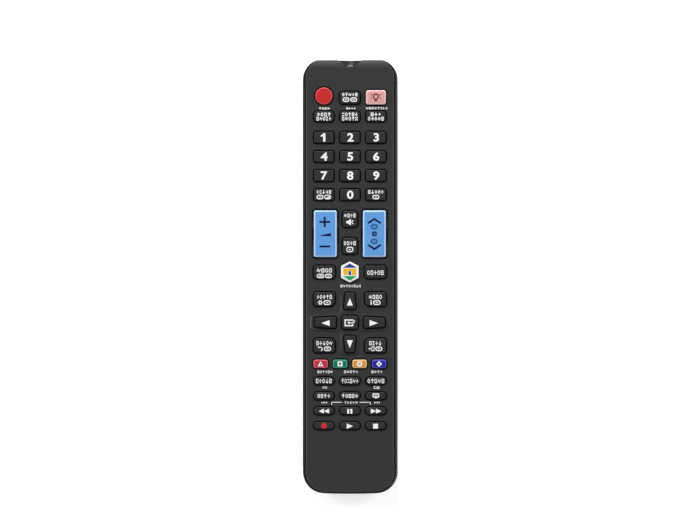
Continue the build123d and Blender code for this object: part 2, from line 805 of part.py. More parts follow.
# Key mat: a silicone sheet on the board, with an opening for each plunger
mat_head_y = board_head_y - mat_margin
mat_tail_y = board_tail_y + mat_margin
with BuildPart() as key_mat:
    with BuildSketch(Plane.XY.offset(board_top)):
        with Locations((0, (mat_head_y + mat_tail_y) / 2)):
            add(outline_plan(even_outline((mat_width, mat_head_y - mat_tail_y), mat_corner_radius)))
        with Locations([place for place in pin_places() if mat_tail_y < place[1] < mat_head_y]):
            RegularPolygon(pin_radius + board_hole_clearance, pin_sides, mode=Mode.SUBTRACT)
        with Locations((0, diode_base_y)):
            Rectangle(mat_notch_width, 2 * (leg_length + mat_opening_gap), mode=Mode.SUBTRACT)
        opening = plunger_width + 2 * mat_opening_gap
        with Locations([(x, head_y - row) for name, x, row, outline, raised in press_keys]):
            Rectangle(opening, opening, mode=Mode.SUBTRACT)
        with Locations([(x, rocker_y + end * rocker_plunger_y) for name, x in rockers for end in (-1, 1)]):
            Rectangle(opening, opening, mode=Mode.SUBTRACT)
    extrude(amount=mat_thickness)
save(key_mat.part, "key_mat")

# Infrared diode: a domed lens with a flange, and two legs that straddle the board's edge
with BuildPart() as infrared_diode:
    with BuildSketch(Plane.YZ):
        with BuildLine():
            dome_centre = (diode_tip_y - diode_radius, diode_z)
            dome = CenterArc(dome_centre, diode_radius, 0, 90, mode=Mode.PRIVATE)
            Polyline(
                *[dome @ (flat / dome_flats) for flat in range(dome_flats + 1)],
                (diode_base_y + diode_flange_length, diode_z + diode_radius),
                (diode_base_y + diode_flange_length, diode_z + diode_flange_radius),
                (diode_base_y, diode_z + diode_flange_radius),
                (diode_base_y, diode_z),
                close=True,
            )
        make_face()
    revolve(axis=Axis((0, 0, diode_z), (0, 1, 0)))
    with BuildSketch(Plane((0, diode_base_y, diode_z), x_dir=(1, 0, 0), z_dir=(0, -1, 0))):
        with Locations((0, -leg_pitch / 2), (0, leg_pitch / 2)):
            Rectangle(leg_thickness, leg_thickness)
    extrude(amount=leg_length)
save(infrared_diode.part, "infrared_diode")

# Board components under the board: the controller chip with its leads, a capacitor and a resonator
with BuildPart() as board_components:
    chip_top = board_z - chip_gap
    with BuildSketch(Plane.XY.offset(chip_top - chip_height)):
        with Locations((0, chip_y)):
            Rectangle(chip_width, chip_length)
    extrude(amount=chip_height)
    with BuildSketch(Plane.XY.offset(chip_top)):
        with Locations((0, chip_y)):
            with GridLocations(0, chip_lead_pitch, 1, chip_lead_count):
                Rectangle(chip_width + 2 * chip_lead_reach, chip_lead_width)
    extrude(amount=chip_gap)
    with BuildSketch(Plane((0, capacitor_y, board_z - capacitor_radius), x_dir=(1, 0, 0), z_dir=(0, 1, 0))):
        with Locations((capacitor_x, 0)):
            RegularPolygon(capacitor_radius, capacitor_sides)
    extrude(amount=capacitor_length / 2, both=True)
    with BuildSketch(Plane.XY.offset(board_z - resonator_height)):
        with Locations((resonator_x, resonator_y)):
            Rectangle(resonator_width, resonator_length)
    extrude(amount=resonator_height)
save(board_components.part, "board_components")

# Battery cells: two, side by side and head to tail
with BuildPart() as battery_cells:
    for side in (-1, 1):
        base_y = bay_y - side * (bay_length / 2 - spring_length)
        base = Plane((side * cell_pitch / 2, base_y, cell_z), x_dir=(1, 0, 0), z_dir=(0, side, 0))
        with BuildSketch(base):
            RegularPolygon(cell_radius, cell_sides)
        extrude(amount=cell_length - cell_button_length)
        with BuildSketch(base.offset(cell_length - cell_button_length)):
            RegularPolygon(cell_button_radius, cell_button_sides)
        extrude(amount=cell_button_length)
save(battery_cells.part, "battery_cells")

# Contact plates: two at the bay's head end with solder tabs, and one bridge at its tail end
with BuildPart() as battery_plates:
    for side in (-1, 1):
        x = side * cell_pitch / 2
        with BuildSketch(Plane((x, bay_head_y + plate_recess, cell_z), x_dir=(1, 0, 0), z_dir=(0, -1, 0))):
            Rectangle(plate_width, plate_width)
            with Locations((0, (board_z - cell_z) / 2)):
                Rectangle(plate_tab_width, board_z - cell_z)
        extrude(amount=plate_thickness)
    with BuildSketch(Plane((0, bay_tail_y - plate_recess, cell_z), x_dir=(1, 0, 0), z_dir=(0, 1, 0))):
        Rectangle(cell_pitch + plate_width, plate_width)
    extrude(amount=plate_thickness)
    for side in (-1, 1):
        end_y = bay_y + side * (bay_length / 2 + plate_recess - plate_thickness)
        with BuildSketch(Plane((side * cell_pitch / 2, end_y, cell_z), x_dir=(1, 0, 0), z_dir=(0, -side, 0))):
            RegularPolygon(plate_nub_radius, plate_nub_sides)
        extrude(amount=plate_nub_height, taper=45)
save(battery_plates.part, "battery_plates")


def spring_point(turn):
    """A point on the coil at a number of turns: it narrows and rises evenly along Z."""
    share = turn / spring_turns
    radius = spring_base_radius + (spring_tip_radius - spring_base_radius) * share
    rise = spring_length - 2 * (spring_wire_radius + contact_gap)
    angle = 2 * pi * turn
    return Vector(radius * cos(angle), radius * sin(angle), spring_wire_radius + contact_gap + rise * share)


def spring_direction(turn):
    """The coil's direction at a number of turns."""
    step = 1 / 4096
    return (spring_point(turn + step) - spring_point(turn - step)).normalized()


def spring_path():
    """The coil's centre line, as a pair of tangent arcs for each half turn."""
    arcs = []
    for half in range(round(spring_turns * 2)):
        start, end = (spring_point((half + part) / 2) for part in (0, 1))
        ahead, behind = (spring_direction((half + part) / 2) for part in (0, 1))
        chord = end - start
        bend = 2 * (1 - ahead.dot(behind))
        along = chord.dot(ahead + behind)
        reach = (sqrt(along**2 + bend * chord.dot(chord)) - along) / bend
        knot = (start + ahead * reach + end - behind * reach) * 0.5
        knot_direction = (end - behind * reach - start - ahead * reach).normalized()
        arcs.append(TangentArc(start, knot, tangent=ahead))
        arcs.append(TangentArc(knot, end, tangent=knot_direction))
    return Wire(arcs)


def spring_self_gap(path):
    """The least gap between neighbouring turns, measured on points."""
    count = round(spring_turns * 48)
    points = [path.position_at(index / count) for index in range(count + 1)]
    apart = round(count / spring_turns / 2)
    least = min(
        (points[i] - points[j]).length for i in range(count + 1) for j in range(i + apart, count + 1)
    )
    return least - 2 * spring_wire_radius


# Battery springs: a conical coil against each cell's flat end
coil_path = spring_path()
print("spring turns' least gap:", round(spring_self_gap(coil_path), 3))
with BuildPart() as coil:
    with BuildSketch(Plane(origin=coil_path @ 0, z_dir=coil_path % 0)):
        RegularPolygon(spring_wire_radius, spring_wire_sides)
    sweep(path=coil_path, is_frenet=True)
with BuildPart() as battery_springs:
    for side in (-1, 1):
        seat_y = bay_y - side * (bay_length / 2 + plate_recess - plate_thickness)
        seat = Plane((side * cell_pitch / 2, seat_y, cell_z), x_dir=(1, 0, 0), z_dir=(0, side, 0))
        add(coil.part.moved(seat.location))
save(battery_springs.part, "battery_springs")

# Battery cover: a flat panel with two head tabs and the U-shaped latch tongue in a notch at its tail
with BuildPart() as battery_cover:
    with BuildSketch():
        with Locations((0, cover_y)):
            RectangleRounded(cover_width, cover_head_y - cover_tail_y, cover_corner_radius)
        outer_leg_y = cover_tail_y + latch_setback + latch_thickness / 2
        inner_leg_y = outer_leg_y + latch_leg_distance
        with Locations((0, cover_tail_y)):
            Rectangle(latch_width + 2 * latch_side_gap, 2 * (inner_leg_y - cover_tail_y), mode=Mode.SUBTRACT)
    extrude(amount=cover_thickness)
    with BuildSketch(Plane.YZ.offset(-tab_x - tab_width / 2)):
        root_y = cover_head_y - tab_root_start
        tab_z = wall + tab_lip_gap
        with BuildLine():
            Polyline(
                (root_y - tab_root_length, cover_thickness),
                (root_y - tab_root_length, tab_z + tab_thickness),
                (cover_head_y + tab_reach, tab_z + tab_thickness),
                (cover_head_y + tab_reach, tab_z),
                (root_y, tab_z),
                (root_y, cover_thickness),
                close=True,
            )
        make_face()
    extrude(amount=tab_width)
    mirror(about=Plane.YZ)
    # The latch: an inner leg on the panel, a bend, and an outer leg with a foot and a nose
    bend_radius = latch_leg_distance / 2
    bend_z = latch_height - bend_radius - latch_thickness / 2
    with BuildSketch(Plane.YZ.offset(-latch_width / 2)):
        with Locations((inner_leg_y, bend_z / 2), (outer_leg_y, bend_z / 2)):
            Rectangle(latch_thickness, bend_z)
        with Locations((outer_leg_y + bend_radius, bend_z)):
            Circle(bend_radius + latch_thickness / 2)
            Circle(bend_radius - latch_thickness / 2, mode=Mode.SUBTRACT)
            with Locations((0, -latch_height / 2)):
                Rectangle(latch_leg_distance - latch_thickness, latch_height, mode=Mode.SUBTRACT)
        foot_start = outer_leg_y - latch_thickness / 2
        with Locations((foot_start + latch_foot_length / 2, cover_thickness / 2)):
            Rectangle(latch_foot_length, cover_thickness)
        nose_y = cover_tail_y - cover_gap + latch_nose_gap
        with BuildLine():
            Polyline(
                (outer_leg_y, latch_nose_z),
                (nose_y, latch_nose_z),
                (nose_y, latch_nose_z + latch_nose_height / 2),
                (outer_leg_y, latch_nose_z + latch_nose_height),
                close=True,
            )
        make_face()
    extrude(amount=latch_width)
save(battery_cover.part, "battery_cover")
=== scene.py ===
from math import atan2, cos, pi, radians, sin, tan

import bmesh
import bpy
from mathutils import Matrix, Vector


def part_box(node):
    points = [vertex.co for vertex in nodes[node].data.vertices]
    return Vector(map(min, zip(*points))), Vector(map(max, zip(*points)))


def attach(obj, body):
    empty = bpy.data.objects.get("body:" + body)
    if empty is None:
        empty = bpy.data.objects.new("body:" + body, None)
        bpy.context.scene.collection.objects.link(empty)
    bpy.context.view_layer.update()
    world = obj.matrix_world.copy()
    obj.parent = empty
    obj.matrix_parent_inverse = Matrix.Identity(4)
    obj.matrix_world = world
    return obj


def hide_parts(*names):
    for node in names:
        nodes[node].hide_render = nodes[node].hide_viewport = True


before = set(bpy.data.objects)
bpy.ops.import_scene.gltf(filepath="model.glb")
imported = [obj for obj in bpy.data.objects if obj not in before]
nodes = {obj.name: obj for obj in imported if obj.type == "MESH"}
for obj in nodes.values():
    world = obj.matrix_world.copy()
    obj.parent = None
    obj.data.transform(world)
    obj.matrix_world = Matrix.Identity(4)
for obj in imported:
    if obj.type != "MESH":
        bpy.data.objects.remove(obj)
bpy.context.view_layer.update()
KEYS = sorted(name for name in nodes if name.endswith(("_key", "_rocker")))

# Lengths are in millimetres, and in metres for the camera, the lamps and the floor
MM = 0.001
FACE_TOP = 20.0

# Camera, lamps, world and floor

PIXEL = 0.5074 * MM
PICTURE_WIDTH = 700
PICTURE_MIDDLE = (350.0, 262.5)
AXIS_PIXEL = (349.9, 276.95)
CAMERA_DISTANCE = 6.0
CAMERA_LEAN = (1.4, -0.4)
CAMERA_CLIP = (0.05, 20)
SENSOR = 36.0
WORLD_LEVEL = 0.25
LAMPS = (
    # name, place, size and level
    ("side_lamp", (-1.25, 0.45, 0.75), 0.5, 0.36),
    ("head_lamp", (-0.2, 1.5, 1.0), 0.5, 0.75),
    ("under_lamp", (0.7, -0.5, -1.1), 0.6, 0.75),
    ("fill_lamp", (1.3, 0.5, 0.75), 0.5, 0.3),
)
FLOOR_REACH = 3.0
FLOOR_Z = -0.1 * MM
FLOOR_COLOUR = (0.86, 0.86, 0.86, 1)
FLOOR_LIFT = 0.68
WHITE = (1, 1, 1, 1)


class Tree:
    """A world's or a material's node tree, and short calls that add to it."""

    def __init__(self, owner):
        owner.use_nodes = True
        self.tree = owner.node_tree

    def feed(self, sockets, *values):
        """Gives each socket its value, or a link where that is another node's output."""
        for socket, value in zip(sockets, values):
            if isinstance(value, (tuple, float, int)):
                socket.default_value = value
            else:
                self.tree.links.new(value, socket)

    def put(self, node, **values):
        """Sets sockets by name, with _ for a blank. A name in small letters is a setting of the node."""
        for key, value in values.items():
            if key.islower():
                setattr(node, key, value)
            else:
                self.feed([node.inputs[key.replace("_", " ")]], value)

    def add(self, kind, **values):
        node = self.tree.nodes.new("ShaderNode" + kind)
        self.put(node, **values)
        return node

    def math(self, operation, first, second):
        node = self.add("Math", operation=operation)
        self.feed(node.inputs, first, second)
        return node.outputs[0]

    def spread(self, value, low, high):
        """A value from 0 to 1, laid out from low to high."""
        return self.add("MapRange", To_Min=low, To_Max=high, Value=value).outputs["Result"]


def in_scene(name, data):
    """A new object in the scene."""
    thing = bpy.data.objects.new(name, data)
    bpy.context.scene.collection.objects.link(thing)
    return thing


def photo_place(px, py):
    """A picture point's place on the face, in millimetres."""
    return (px - AXIS_PIXEL[0]) * PIXEL / MM, (AXIS_PIXEL[1] - py) * PIXEL / MM


def make_camera():
    """The picture's camera: far off, with a long lens, and a little to the right and towards the tail."""
    data = bpy.data.cameras.new("camera")
    data.sensor_width, data.lens = SENSOR, SENSOR * CAMERA_DISTANCE / (PICTURE_WIDTH * PIXEL)
    data.clip_start, data.clip_end = CAMERA_CLIP
    camera = in_scene("camera", data)
    x, y = photo_place(*PICTURE_MIDDLE)
    target = Vector((x * MM, y * MM, FACE_TOP * MM))
    away = Vector((tan(radians(CAMERA_LEAN[0])), tan(radians(CAMERA_LEAN[1])), 1)).normalized()
    camera.location = target + away * CAMERA_DISTANCE
    right = Vector((0, 1, 0)).cross(away).normalized()
    camera.rotation_euler = Matrix((right, away.cross(right), away)).transposed().to_euler()
    bpy.context.scene.camera = camera


def make_lamp(name, place, size, level):
    """A square soft lamp aimed at the object. Its level is what it adds to a white card that faces it."""
    data = bpy.data.lights.new(name, "AREA")
    data.shape, data.size = "SQUARE", size
    place = Vector(place)
    data.energy = level * pi**2 * place.length_squared
    lamp = in_scene(name, data)
    lamp.location = place
    lamp.rotation_euler = (-place).to_track_quat("-Z", "Y").to_euler()


def background_rays(tree):
    """One for the rays that show the background: those of the camera, of gloss and of clear materials."""
    rays = tree.add("LightPath").outputs
    total = rays["Is Camera Ray"]
    for kind in ("Is Glossy Ray", "Is Transmission Ray"):
        total = tree.math("MAXIMUM", total, rays[kind])
    return total


def make_world():
    """A world that is white to the camera and to reflections, and dimmer as a light."""
    world = bpy.data.worlds.new("world")
    tree = Tree(world)
    strength = tree.spread(background_rays(tree), WORLD_LEVEL, 1.0)
    tree.put(tree.tree.nodes["Background"], Color=WHITE, Strength=strength)
    bpy.context.scene.world = world


def make_floor():
    """A pale floor that keeps the object's shadow, reads white, and is clear to light from below."""
    mesh = bpy.data.meshes.new("floor")
    mesh.from_pydata([(x, y, FLOOR_Z) for x, y in rectangle(FLOOR_REACH, FLOOR_REACH)], [], [(0, 1, 2, 3)])
    floor = in_scene("floor", mesh)
    floor.visible_shadow = False
    mat = bpy.data.materials.new("floor")
    tree = Tree(mat)
    tree.tree.nodes.clear()
    card = tree.add("BsdfDiffuse", Color=FLOOR_COLOUR)
    glow = tree.add("Emission", Strength=tree.math("MULTIPLY", background_rays(tree), FLOOR_LIFT))
    both = tree.add("AddShader")
    tree.feed(both.inputs, card.outputs[0], glow.outputs[0])
    below = tree.add("NewGeometry").outputs["Backfacing"]
    unseen = tree.math("MAXIMUM", below, tree.add("LightPath").outputs["Is Diffuse Ray"])
    mix = tree.add("MixShader")
    tree.feed(mix.inputs, unseen, both.outputs[0], tree.add("BsdfTransparent").outputs[0])
    tree.add("OutputMaterial", Surface=mix.outputs[0])
    mesh.materials.append(mat)


# Materials

GRAIN_STOP = 0.25
BLOTCH_SIZE = 14.0
BLOTCH_SHARE = 0.35
BLOTCH_TINT = 1.12
# Painted shade in crevices: the darkest multiplier, and the occlusion values at which it is full and at which
# it fades to none
PAINTED_SHADE = (0.02, 0.02, 0.02, 1)
PAINTED_SHADE_STOPS = (0.38, 0.88)
TRACK_PITCH = 6.0


def srgb(red, green, blue):
    """A colour given as eight-bit screen values, as linear ones."""
    def linear(v):
        v /= 255
        return v / 12.92 if v <= 0.04045 else ((v + 0.055) / 1.055) ** 2.4

    return (linear(red), linear(green), linear(blue), 1.0)


def scaled(colour, factor):
    return tuple(min(1.0, c * factor) for c in colour[:3]) + (1.0,)


class Finish(Tree):
    """A material round its main shader."""

    def __init__(self, name):
        self.mat = bpy.data.materials.new(name)
        super().__init__(self.mat)
        self.coords = self.add("TexCoord").outputs["Object"]

    def noise(self, size, detail=2.0, rough=0.5):
        """Noise whose features are about size millimetres across."""
        node = self.add("TexNoise", Scale=1 / (size * MM), Detail=detail, Roughness=rough, Vector=self.coords)
        return node.outputs["Fac"]

    def ramp(self, value, first, last):
        """A blend between two stops, each a place and a colour."""
        node = self.add("ValToRGB", Fac=value)
        for end, stop in zip(node.color_ramp.elements, (first, last)):
            end.position, end.color = stop
        return node.outputs["Color"]

    def tint(self, value, colour, low, high, stop=0.3):
        """The colour times low and times high, at two stops as far from both ends."""
        return self.ramp(value, (stop, scaled(colour, low)), (1 - stop, scaled(colour, high)))

    def mix(self, factor, first, second, kind="MIX"):
        node = self.add("Mix", data_type="RGBA", blend_type=kind)
        self.feed((node.inputs[0], node.inputs[6], node.inputs[7]), factor, first, second)
        return node.outputs[2]

    def bump(self, value, depth):
        """A relief of that depth in millimetres."""
        return self.add("Bump", Strength=1.0, Distance=depth * MM, Height=value).outputs["Normal"]

    def done(self, **values):
        """Sets the main shader's sockets and gives the material."""
        self.put(self.tree.nodes["Principled BSDF"], **values)
        return self.mat


def moulded(name, colour, roughness, grain, relief, mottle=0.12, shade_reach=None, specular=0.2):
    """Moulded plastic: a spark-eroded grain, slight mottling and a sheen that handling leaves uneven.
    With a shade reach in millimetres it takes painted shade: its colour darkens where parts meet and hollows
    close in."""
    m = Finish(name)
    fine = m.noise(grain, 3.0, 0.6)
    broad = m.noise(BLOTCH_SIZE, 3.0, 0.55)
    base = m.tint(fine, colour, 1 - mottle, 1 + mottle, GRAIN_STOP)
    base = m.mix(m.spread(broad, 0.0, BLOTCH_SHARE), base, scaled(colour, BLOTCH_TINT))
    if shade_reach:
        # painted shade: ambient occlusion darkens the colour where parts meet
        openness = m.add("AmbientOcclusion", samples=8, Distance=shade_reach * MM).outputs["AO"]
        base = m.mix(1.0, base, m.ramp(openness, *zip(PAINTED_SHADE_STOPS, (PAINTED_SHADE, WHITE))), "MULTIPLY")
    worn = m.mix(BLOTCH_SHARE, fine, broad)
    return m.done(
        Base_Color=base, Roughness=m.spread(worn, roughness - 0.07, roughness + 0.09),
        Specular_IOR_Level=specular, Normal=m.bump(fine, relief),
    )


def printed(name, colour):
    """Screen-printed ink: slightly uneven, with a faint grain."""
    m = Finish(name)
    fine = m.noise(0.12)
    return m.done(
        Base_Color=m.tint(fine, colour, 0.93, 1.03), Roughness=m.spread(fine, 0.4, 0.53),
        Specular_IOR_Level=0.15, Normal=m.bump(fine, 0.004),
    )


def metal(name, colour, roughness):
    """Plated metal with fine scuffs."""
    m = Finish(name)
    fine = m.noise(0.25, 4.0, 0.7)
    return m.done(
        Base_Color=m.tint(fine, colour, 0.85, 1.08), Metallic=1.0,
        Roughness=m.spread(fine, roughness - 0.08, roughness + 0.14), Normal=m.bump(fine, 0.004),
    )


def circuit(name):
    """Green solder mask over copper: tracks that run along and across, and a faint unevenness."""
    m = Finish(name)
    tracks = m.add(
        "TexBrick", offset=0.37, squash=0.6, Scale=1 / (TRACK_PITCH * MM), Mortar_Size=0.045,
        Color1=srgb(22, 88, 50), Color2=srgb(26, 96, 54), Mortar=srgb(64, 150, 84), Vector=m.coords,
    ).outputs
    fine = m.noise(0.4)
    mask = m.mix(m.spread(fine, 0, 0.3), tracks["Color"], srgb(18, 70, 42))
    return m.done(Base_Color=mask, Roughness=m.spread(fine, 0.25, 0.4), Normal=m.bump(tracks["Fac"], 0.03))


def rubber(name, colour):
    """Silicone: milky, soft and slightly dusty."""
    m = Finish(name)
    fine = m.noise(0.5, 3.0)
    return m.done(
        Base_Color=m.tint(fine, colour, 0.92, 1.05), Subsurface_Weight=0.25, Subsurface_Radius=3 * (2 * MM,),
        Subsurface_Scale=1.0, Roughness=m.spread(fine, 0.55, 0.7), Normal=m.bump(fine, 0.01),
    )


def resin(name, colour):
    """The diode's clear resin, faintly tinted and smooth but for slight flow marks."""
    m = Finish(name)
    flow = m.noise(1.2, 1.0)
    return m.done(
        Base_Color=m.tint(flow, colour, 0.95, 1.0), Transmission_Weight=0.85,
        Roughness=m.spread(flow, 0.03, 0.1), IOR=1.53, Normal=m.bump(flow, 0.01),
    )


FACE = srgb(32, 32, 33)
SHELL = srgb(28, 28, 30)
KEY = srgb(36, 36, 37)
PALETTE = {
    # a coloured key's cap, and the painted highlight on the upper part of its rolled edge
    "power": ((192, 40, 40), (212, 92, 100)),
    "light": ((214, 156, 154), (236, 206, 204)),
    "rocker": ((96, 154, 217), (196, 222, 252)),
    "red": ((182, 50, 70), (226, 108, 126)),
    "green": ((18, 107, 86), (84, 170, 146)),
    "yellow": ((208, 146, 70), (246, 208, 148)),
    "blue": ((36, 33, 148), (96, 92, 204)),
    "home": ((240, 240, 238), (246, 246, 246)),
}
INK_COLOURS = {
    "white": (252, 252, 252), "navy": (4, 14, 66), "slate": (26, 74, 134), "maroon": (84, 4, 12),
    "red": (206, 44, 56), "yellow": (236, 184, 44), "green": (26, 158, 96), "roof": (40, 60, 130),
}
PLASTICS = {
    # colour, roughness, grain size, relief, mottling, reach of the painted crevice shade and gloss
    "face": (FACE, 0.48, 0.6, 0.03, 0.16, 1.1, 0.3),
    # painted highlight: the face's colour, lighter and glossier, for its outer edge, the plateau's slopes and
    # the line inside the corner bands
    "face_edge": (scaled(FACE, 2.2), 0.3, 0.6, 0.01, 0.1, None, 0.5),
    # painted highlight: the plateau's left slopes, which face the side lamp, far lighter still
    "face_worn": (scaled(FACE, 7.0), 0.26, 0.6, 0.01, 0.1, None, 0.5),
    # painted shade: the shell's colour darkened for the lines round the face's corners and the rockers'
    # openings
    "groove": (scaled(SHELL, 0.3), 0.5, 0.5, 0.01, 0.1, None, 0.12),
    "shell": (SHELL, 0.4, 0.5, 0.02, 0.15),
    "key": (KEY, 0.46, 0.5, 0.014, 0.15, 0.9),
    # painted shade: a dark key's rolled edge darker on its upper part
    "key_rim": (scaled(KEY, 0.7), 0.42, 0.5, 0.008, 0.12, 0.9),
    # painted shade: a dark key's colour darkened for its hidden foot and the lower part of its rolled edge
    "key_edge": (scaled(KEY, 0.2), 0.5, 0.5, 0.008, 0.12, 0.9, 0.08),
}
for name, (cap, rim) in PALETTE.items():
    cap, rim = srgb(*cap), srgb(*rim)
    PLASTICS[name] = (cap, 0.4, 0.5, 0.008, 0.05)
    # painted highlight: a coloured key's rolled edge lighter on its upper part
    PLASTICS[name + "_rim"] = (rim, 0.34, 0.5, 0.006, 0.03)
    # painted shade: a coloured key's foot and the lower part of its rolled edge darkened to a quarter
    PLASTICS[name + "_edge"] = (scaled(cap, 0.25), 0.45, 0.5, 0.006, 0.12, 0.9, 0.08)
MATS = {
    "epoxy": moulded("chip_epoxy", srgb(30, 30, 32), 0.5, 0.2, 0.01),
    "ceramic": moulded("resonator_ceramic", srgb(186, 96, 40), 0.35, 0.3, 0.006, 0.06),
    "sleeve": moulded("capacitor_sleeve", srgb(26, 34, 66), 0.3, 0.5, 0.004),
    "cell_sleeve": moulded("cell_sleeve", srgb(206, 210, 214), 0.25, 0.6, 0.002, 0.03),
    "cell_band": moulded("cell_band", srgb(40, 120, 110), 0.25, 0.6, 0.002, 0.05),
    "board": circuit("solder_mask"),
    "silicone": rubber("silicone", srgb(176, 178, 180)),
    "lens": resin("lens_resin", (0.3, 0.32, 0.36, 1)),
    "nickel": metal("nickel", (0.72, 0.70, 0.66, 1), 0.28),
    "steel": metal("steel", (0.62, 0.62, 0.63, 1), 0.22),
    "tin": metal("tin", (0.75, 0.75, 0.76, 1), 0.35),
}
for name, values in PLASTICS.items():
    MATS[name] = moulded(name + "_plastic", *values)
for name, colour in INK_COLOURS.items():
    MATS[name + "_ink"] = printed(name + "_ink", srgb(*colour))


# Mesh helpers

WELD = 0.0005
FLAT_ANGLE = 0.5
LEAST_RADIUS = 0.1


def make_piece(bm, name, body, mats, replaced=None, smooth=35.0):
    """Turns a mesh in millimetres into a named piece that rides on its body."""
    bmesh.ops.recalc_face_normals(bm, faces=bm.faces)
    bm.transform(Matrix.Scale(MM, 4))
    for edge in bm.edges:
        edge.smooth = len(edge.link_faces) == 2 and edge.calc_face_angle() < radians(smooth)
    for face in bm.faces:
        face.smooth = True
    mesh = bpy.data.meshes.new(name)
    bm.to_mesh(mesh)
    bm.free()
    for mat in mats:
        mesh.materials.append(MATS[mat])
    piece = in_scene(name, mesh)
    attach(piece, body)
    if replaced:
        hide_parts(replaced)
    return piece


def turned(vector, angle):
    across, along = cos(angle), sin(angle)
    return Vector((vector.x * across - vector.y * along, vector.x * along + vector.y * across))


def rectangle(half_x, half_y):
    """A rectangle's corners, counter-clockwise from the right one at the head."""
    return [(x * half_x, y * half_y) for x, y in ((1, 1), (-1, 1), (-1, -1), (1, -1))]


def soft_loop(corners, radii, inset, steps=6):
    """A polygon's outline drawn in by inset, with an arc of that many steps in each corner."""
    loop = []
    for index, radius in enumerate(radii):
        before, corner, after = (Vector(corners[(index + step) % len(corners)]) for step in (-1, 0, 1))
        ahead, beyond = (corner - before).normalized(), (after - corner).normalized()
        turn = atan2(ahead.x * beyond.y - ahead.y * beyond.x, ahead.dot(beyond))
        outward = Vector((ahead.y, -ahead.x))
        bisector = turned(outward, turn / 2)
        sharp = max(radius - inset, LEAST_RADIUS)
        centre = corner - bisector * ((inset + sharp) / cos(turn / 2))
        loop += [centre + turned(outward, turn * step / steps) * sharp for step in range(steps + 1)]
    return loop


def extent(vertices, axis):
    """The middle and the size of some vertices along an axis."""
    places = [v.co[axis] for v in vertices]
    return (min(places) + max(places)) / 2, max(places) - min(places)


def oval_loop(across, along, steps):
    turns = [2 * pi * step / steps for step in range(steps)]
    return [Vector((across * cos(a), along * sin(a))) for a in turns]


def circle_loop(radius, steps):
    return oval_loop(radius, radius, steps)


def bridge(bm, lower, upper, mat):
    for index in range(len(lower)):
        after = (index + 1) % len(lower)
        bm.faces.new((lower[index], lower[after], upper[after], upper[index])).material_index = mat


def tube(bm, rings, mat=0):
    """A closed form through rings with the same number of points."""
    for first, second in zip(rings, rings[1:]):
        bridge(bm, first, second, mat)
    for ring in (rings[0], rings[-1]):
        bm.faces.new(ring).material_index = mat


def cad_mesh(node):
    """A CAD node's mesh in millimetres, joined up and with its flat faces whole."""
    bm = bmesh.new()
    bm.from_mesh(nodes[node].data)
    bm.transform(Matrix.Scale(1 / MM, 4))
    bmesh.ops.remove_doubles(bm, verts=bm.verts, dist=WELD)
    bmesh.ops.dissolve_limit(bm, angle_limit=radians(FLAT_ANGLE), verts=bm.verts, edges=bm.edges)
    return bm


def cut(bm, place, normal, **more):
    """Cuts a mesh along a plane and gives what lies on the cut."""
    every = bm.verts[:] + bm.edges[:] + bm.faces[:]
    return bmesh.ops.bisect_plane(bm, geom=every, plane_co=place, plane_no=normal, **more)["geom_cut"]


def softened(bm, width, least):
    """Rounds the edges that turn by more than least degrees."""
    sharp = [e for e in bm.edges if len(e.link_faces) == 2 and e.calc_face_angle() > radians(least)]
    bmesh.ops.bevel(
        bm, geom=sharp, offset=width, offset_type="OFFSET", segments=2, profile=0.5,
        affect="EDGES", clamp_overlap=True, miter_outer="ARC",
    )


# Printed marks

LEGEND_LINE = 0.4
LEGEND_GAP = 0.4
LABEL_LINE = 0.28
LABEL_GAP = 0.3
LEAST_MITRE = 0.35
ARROW_SPREAD = 0.8


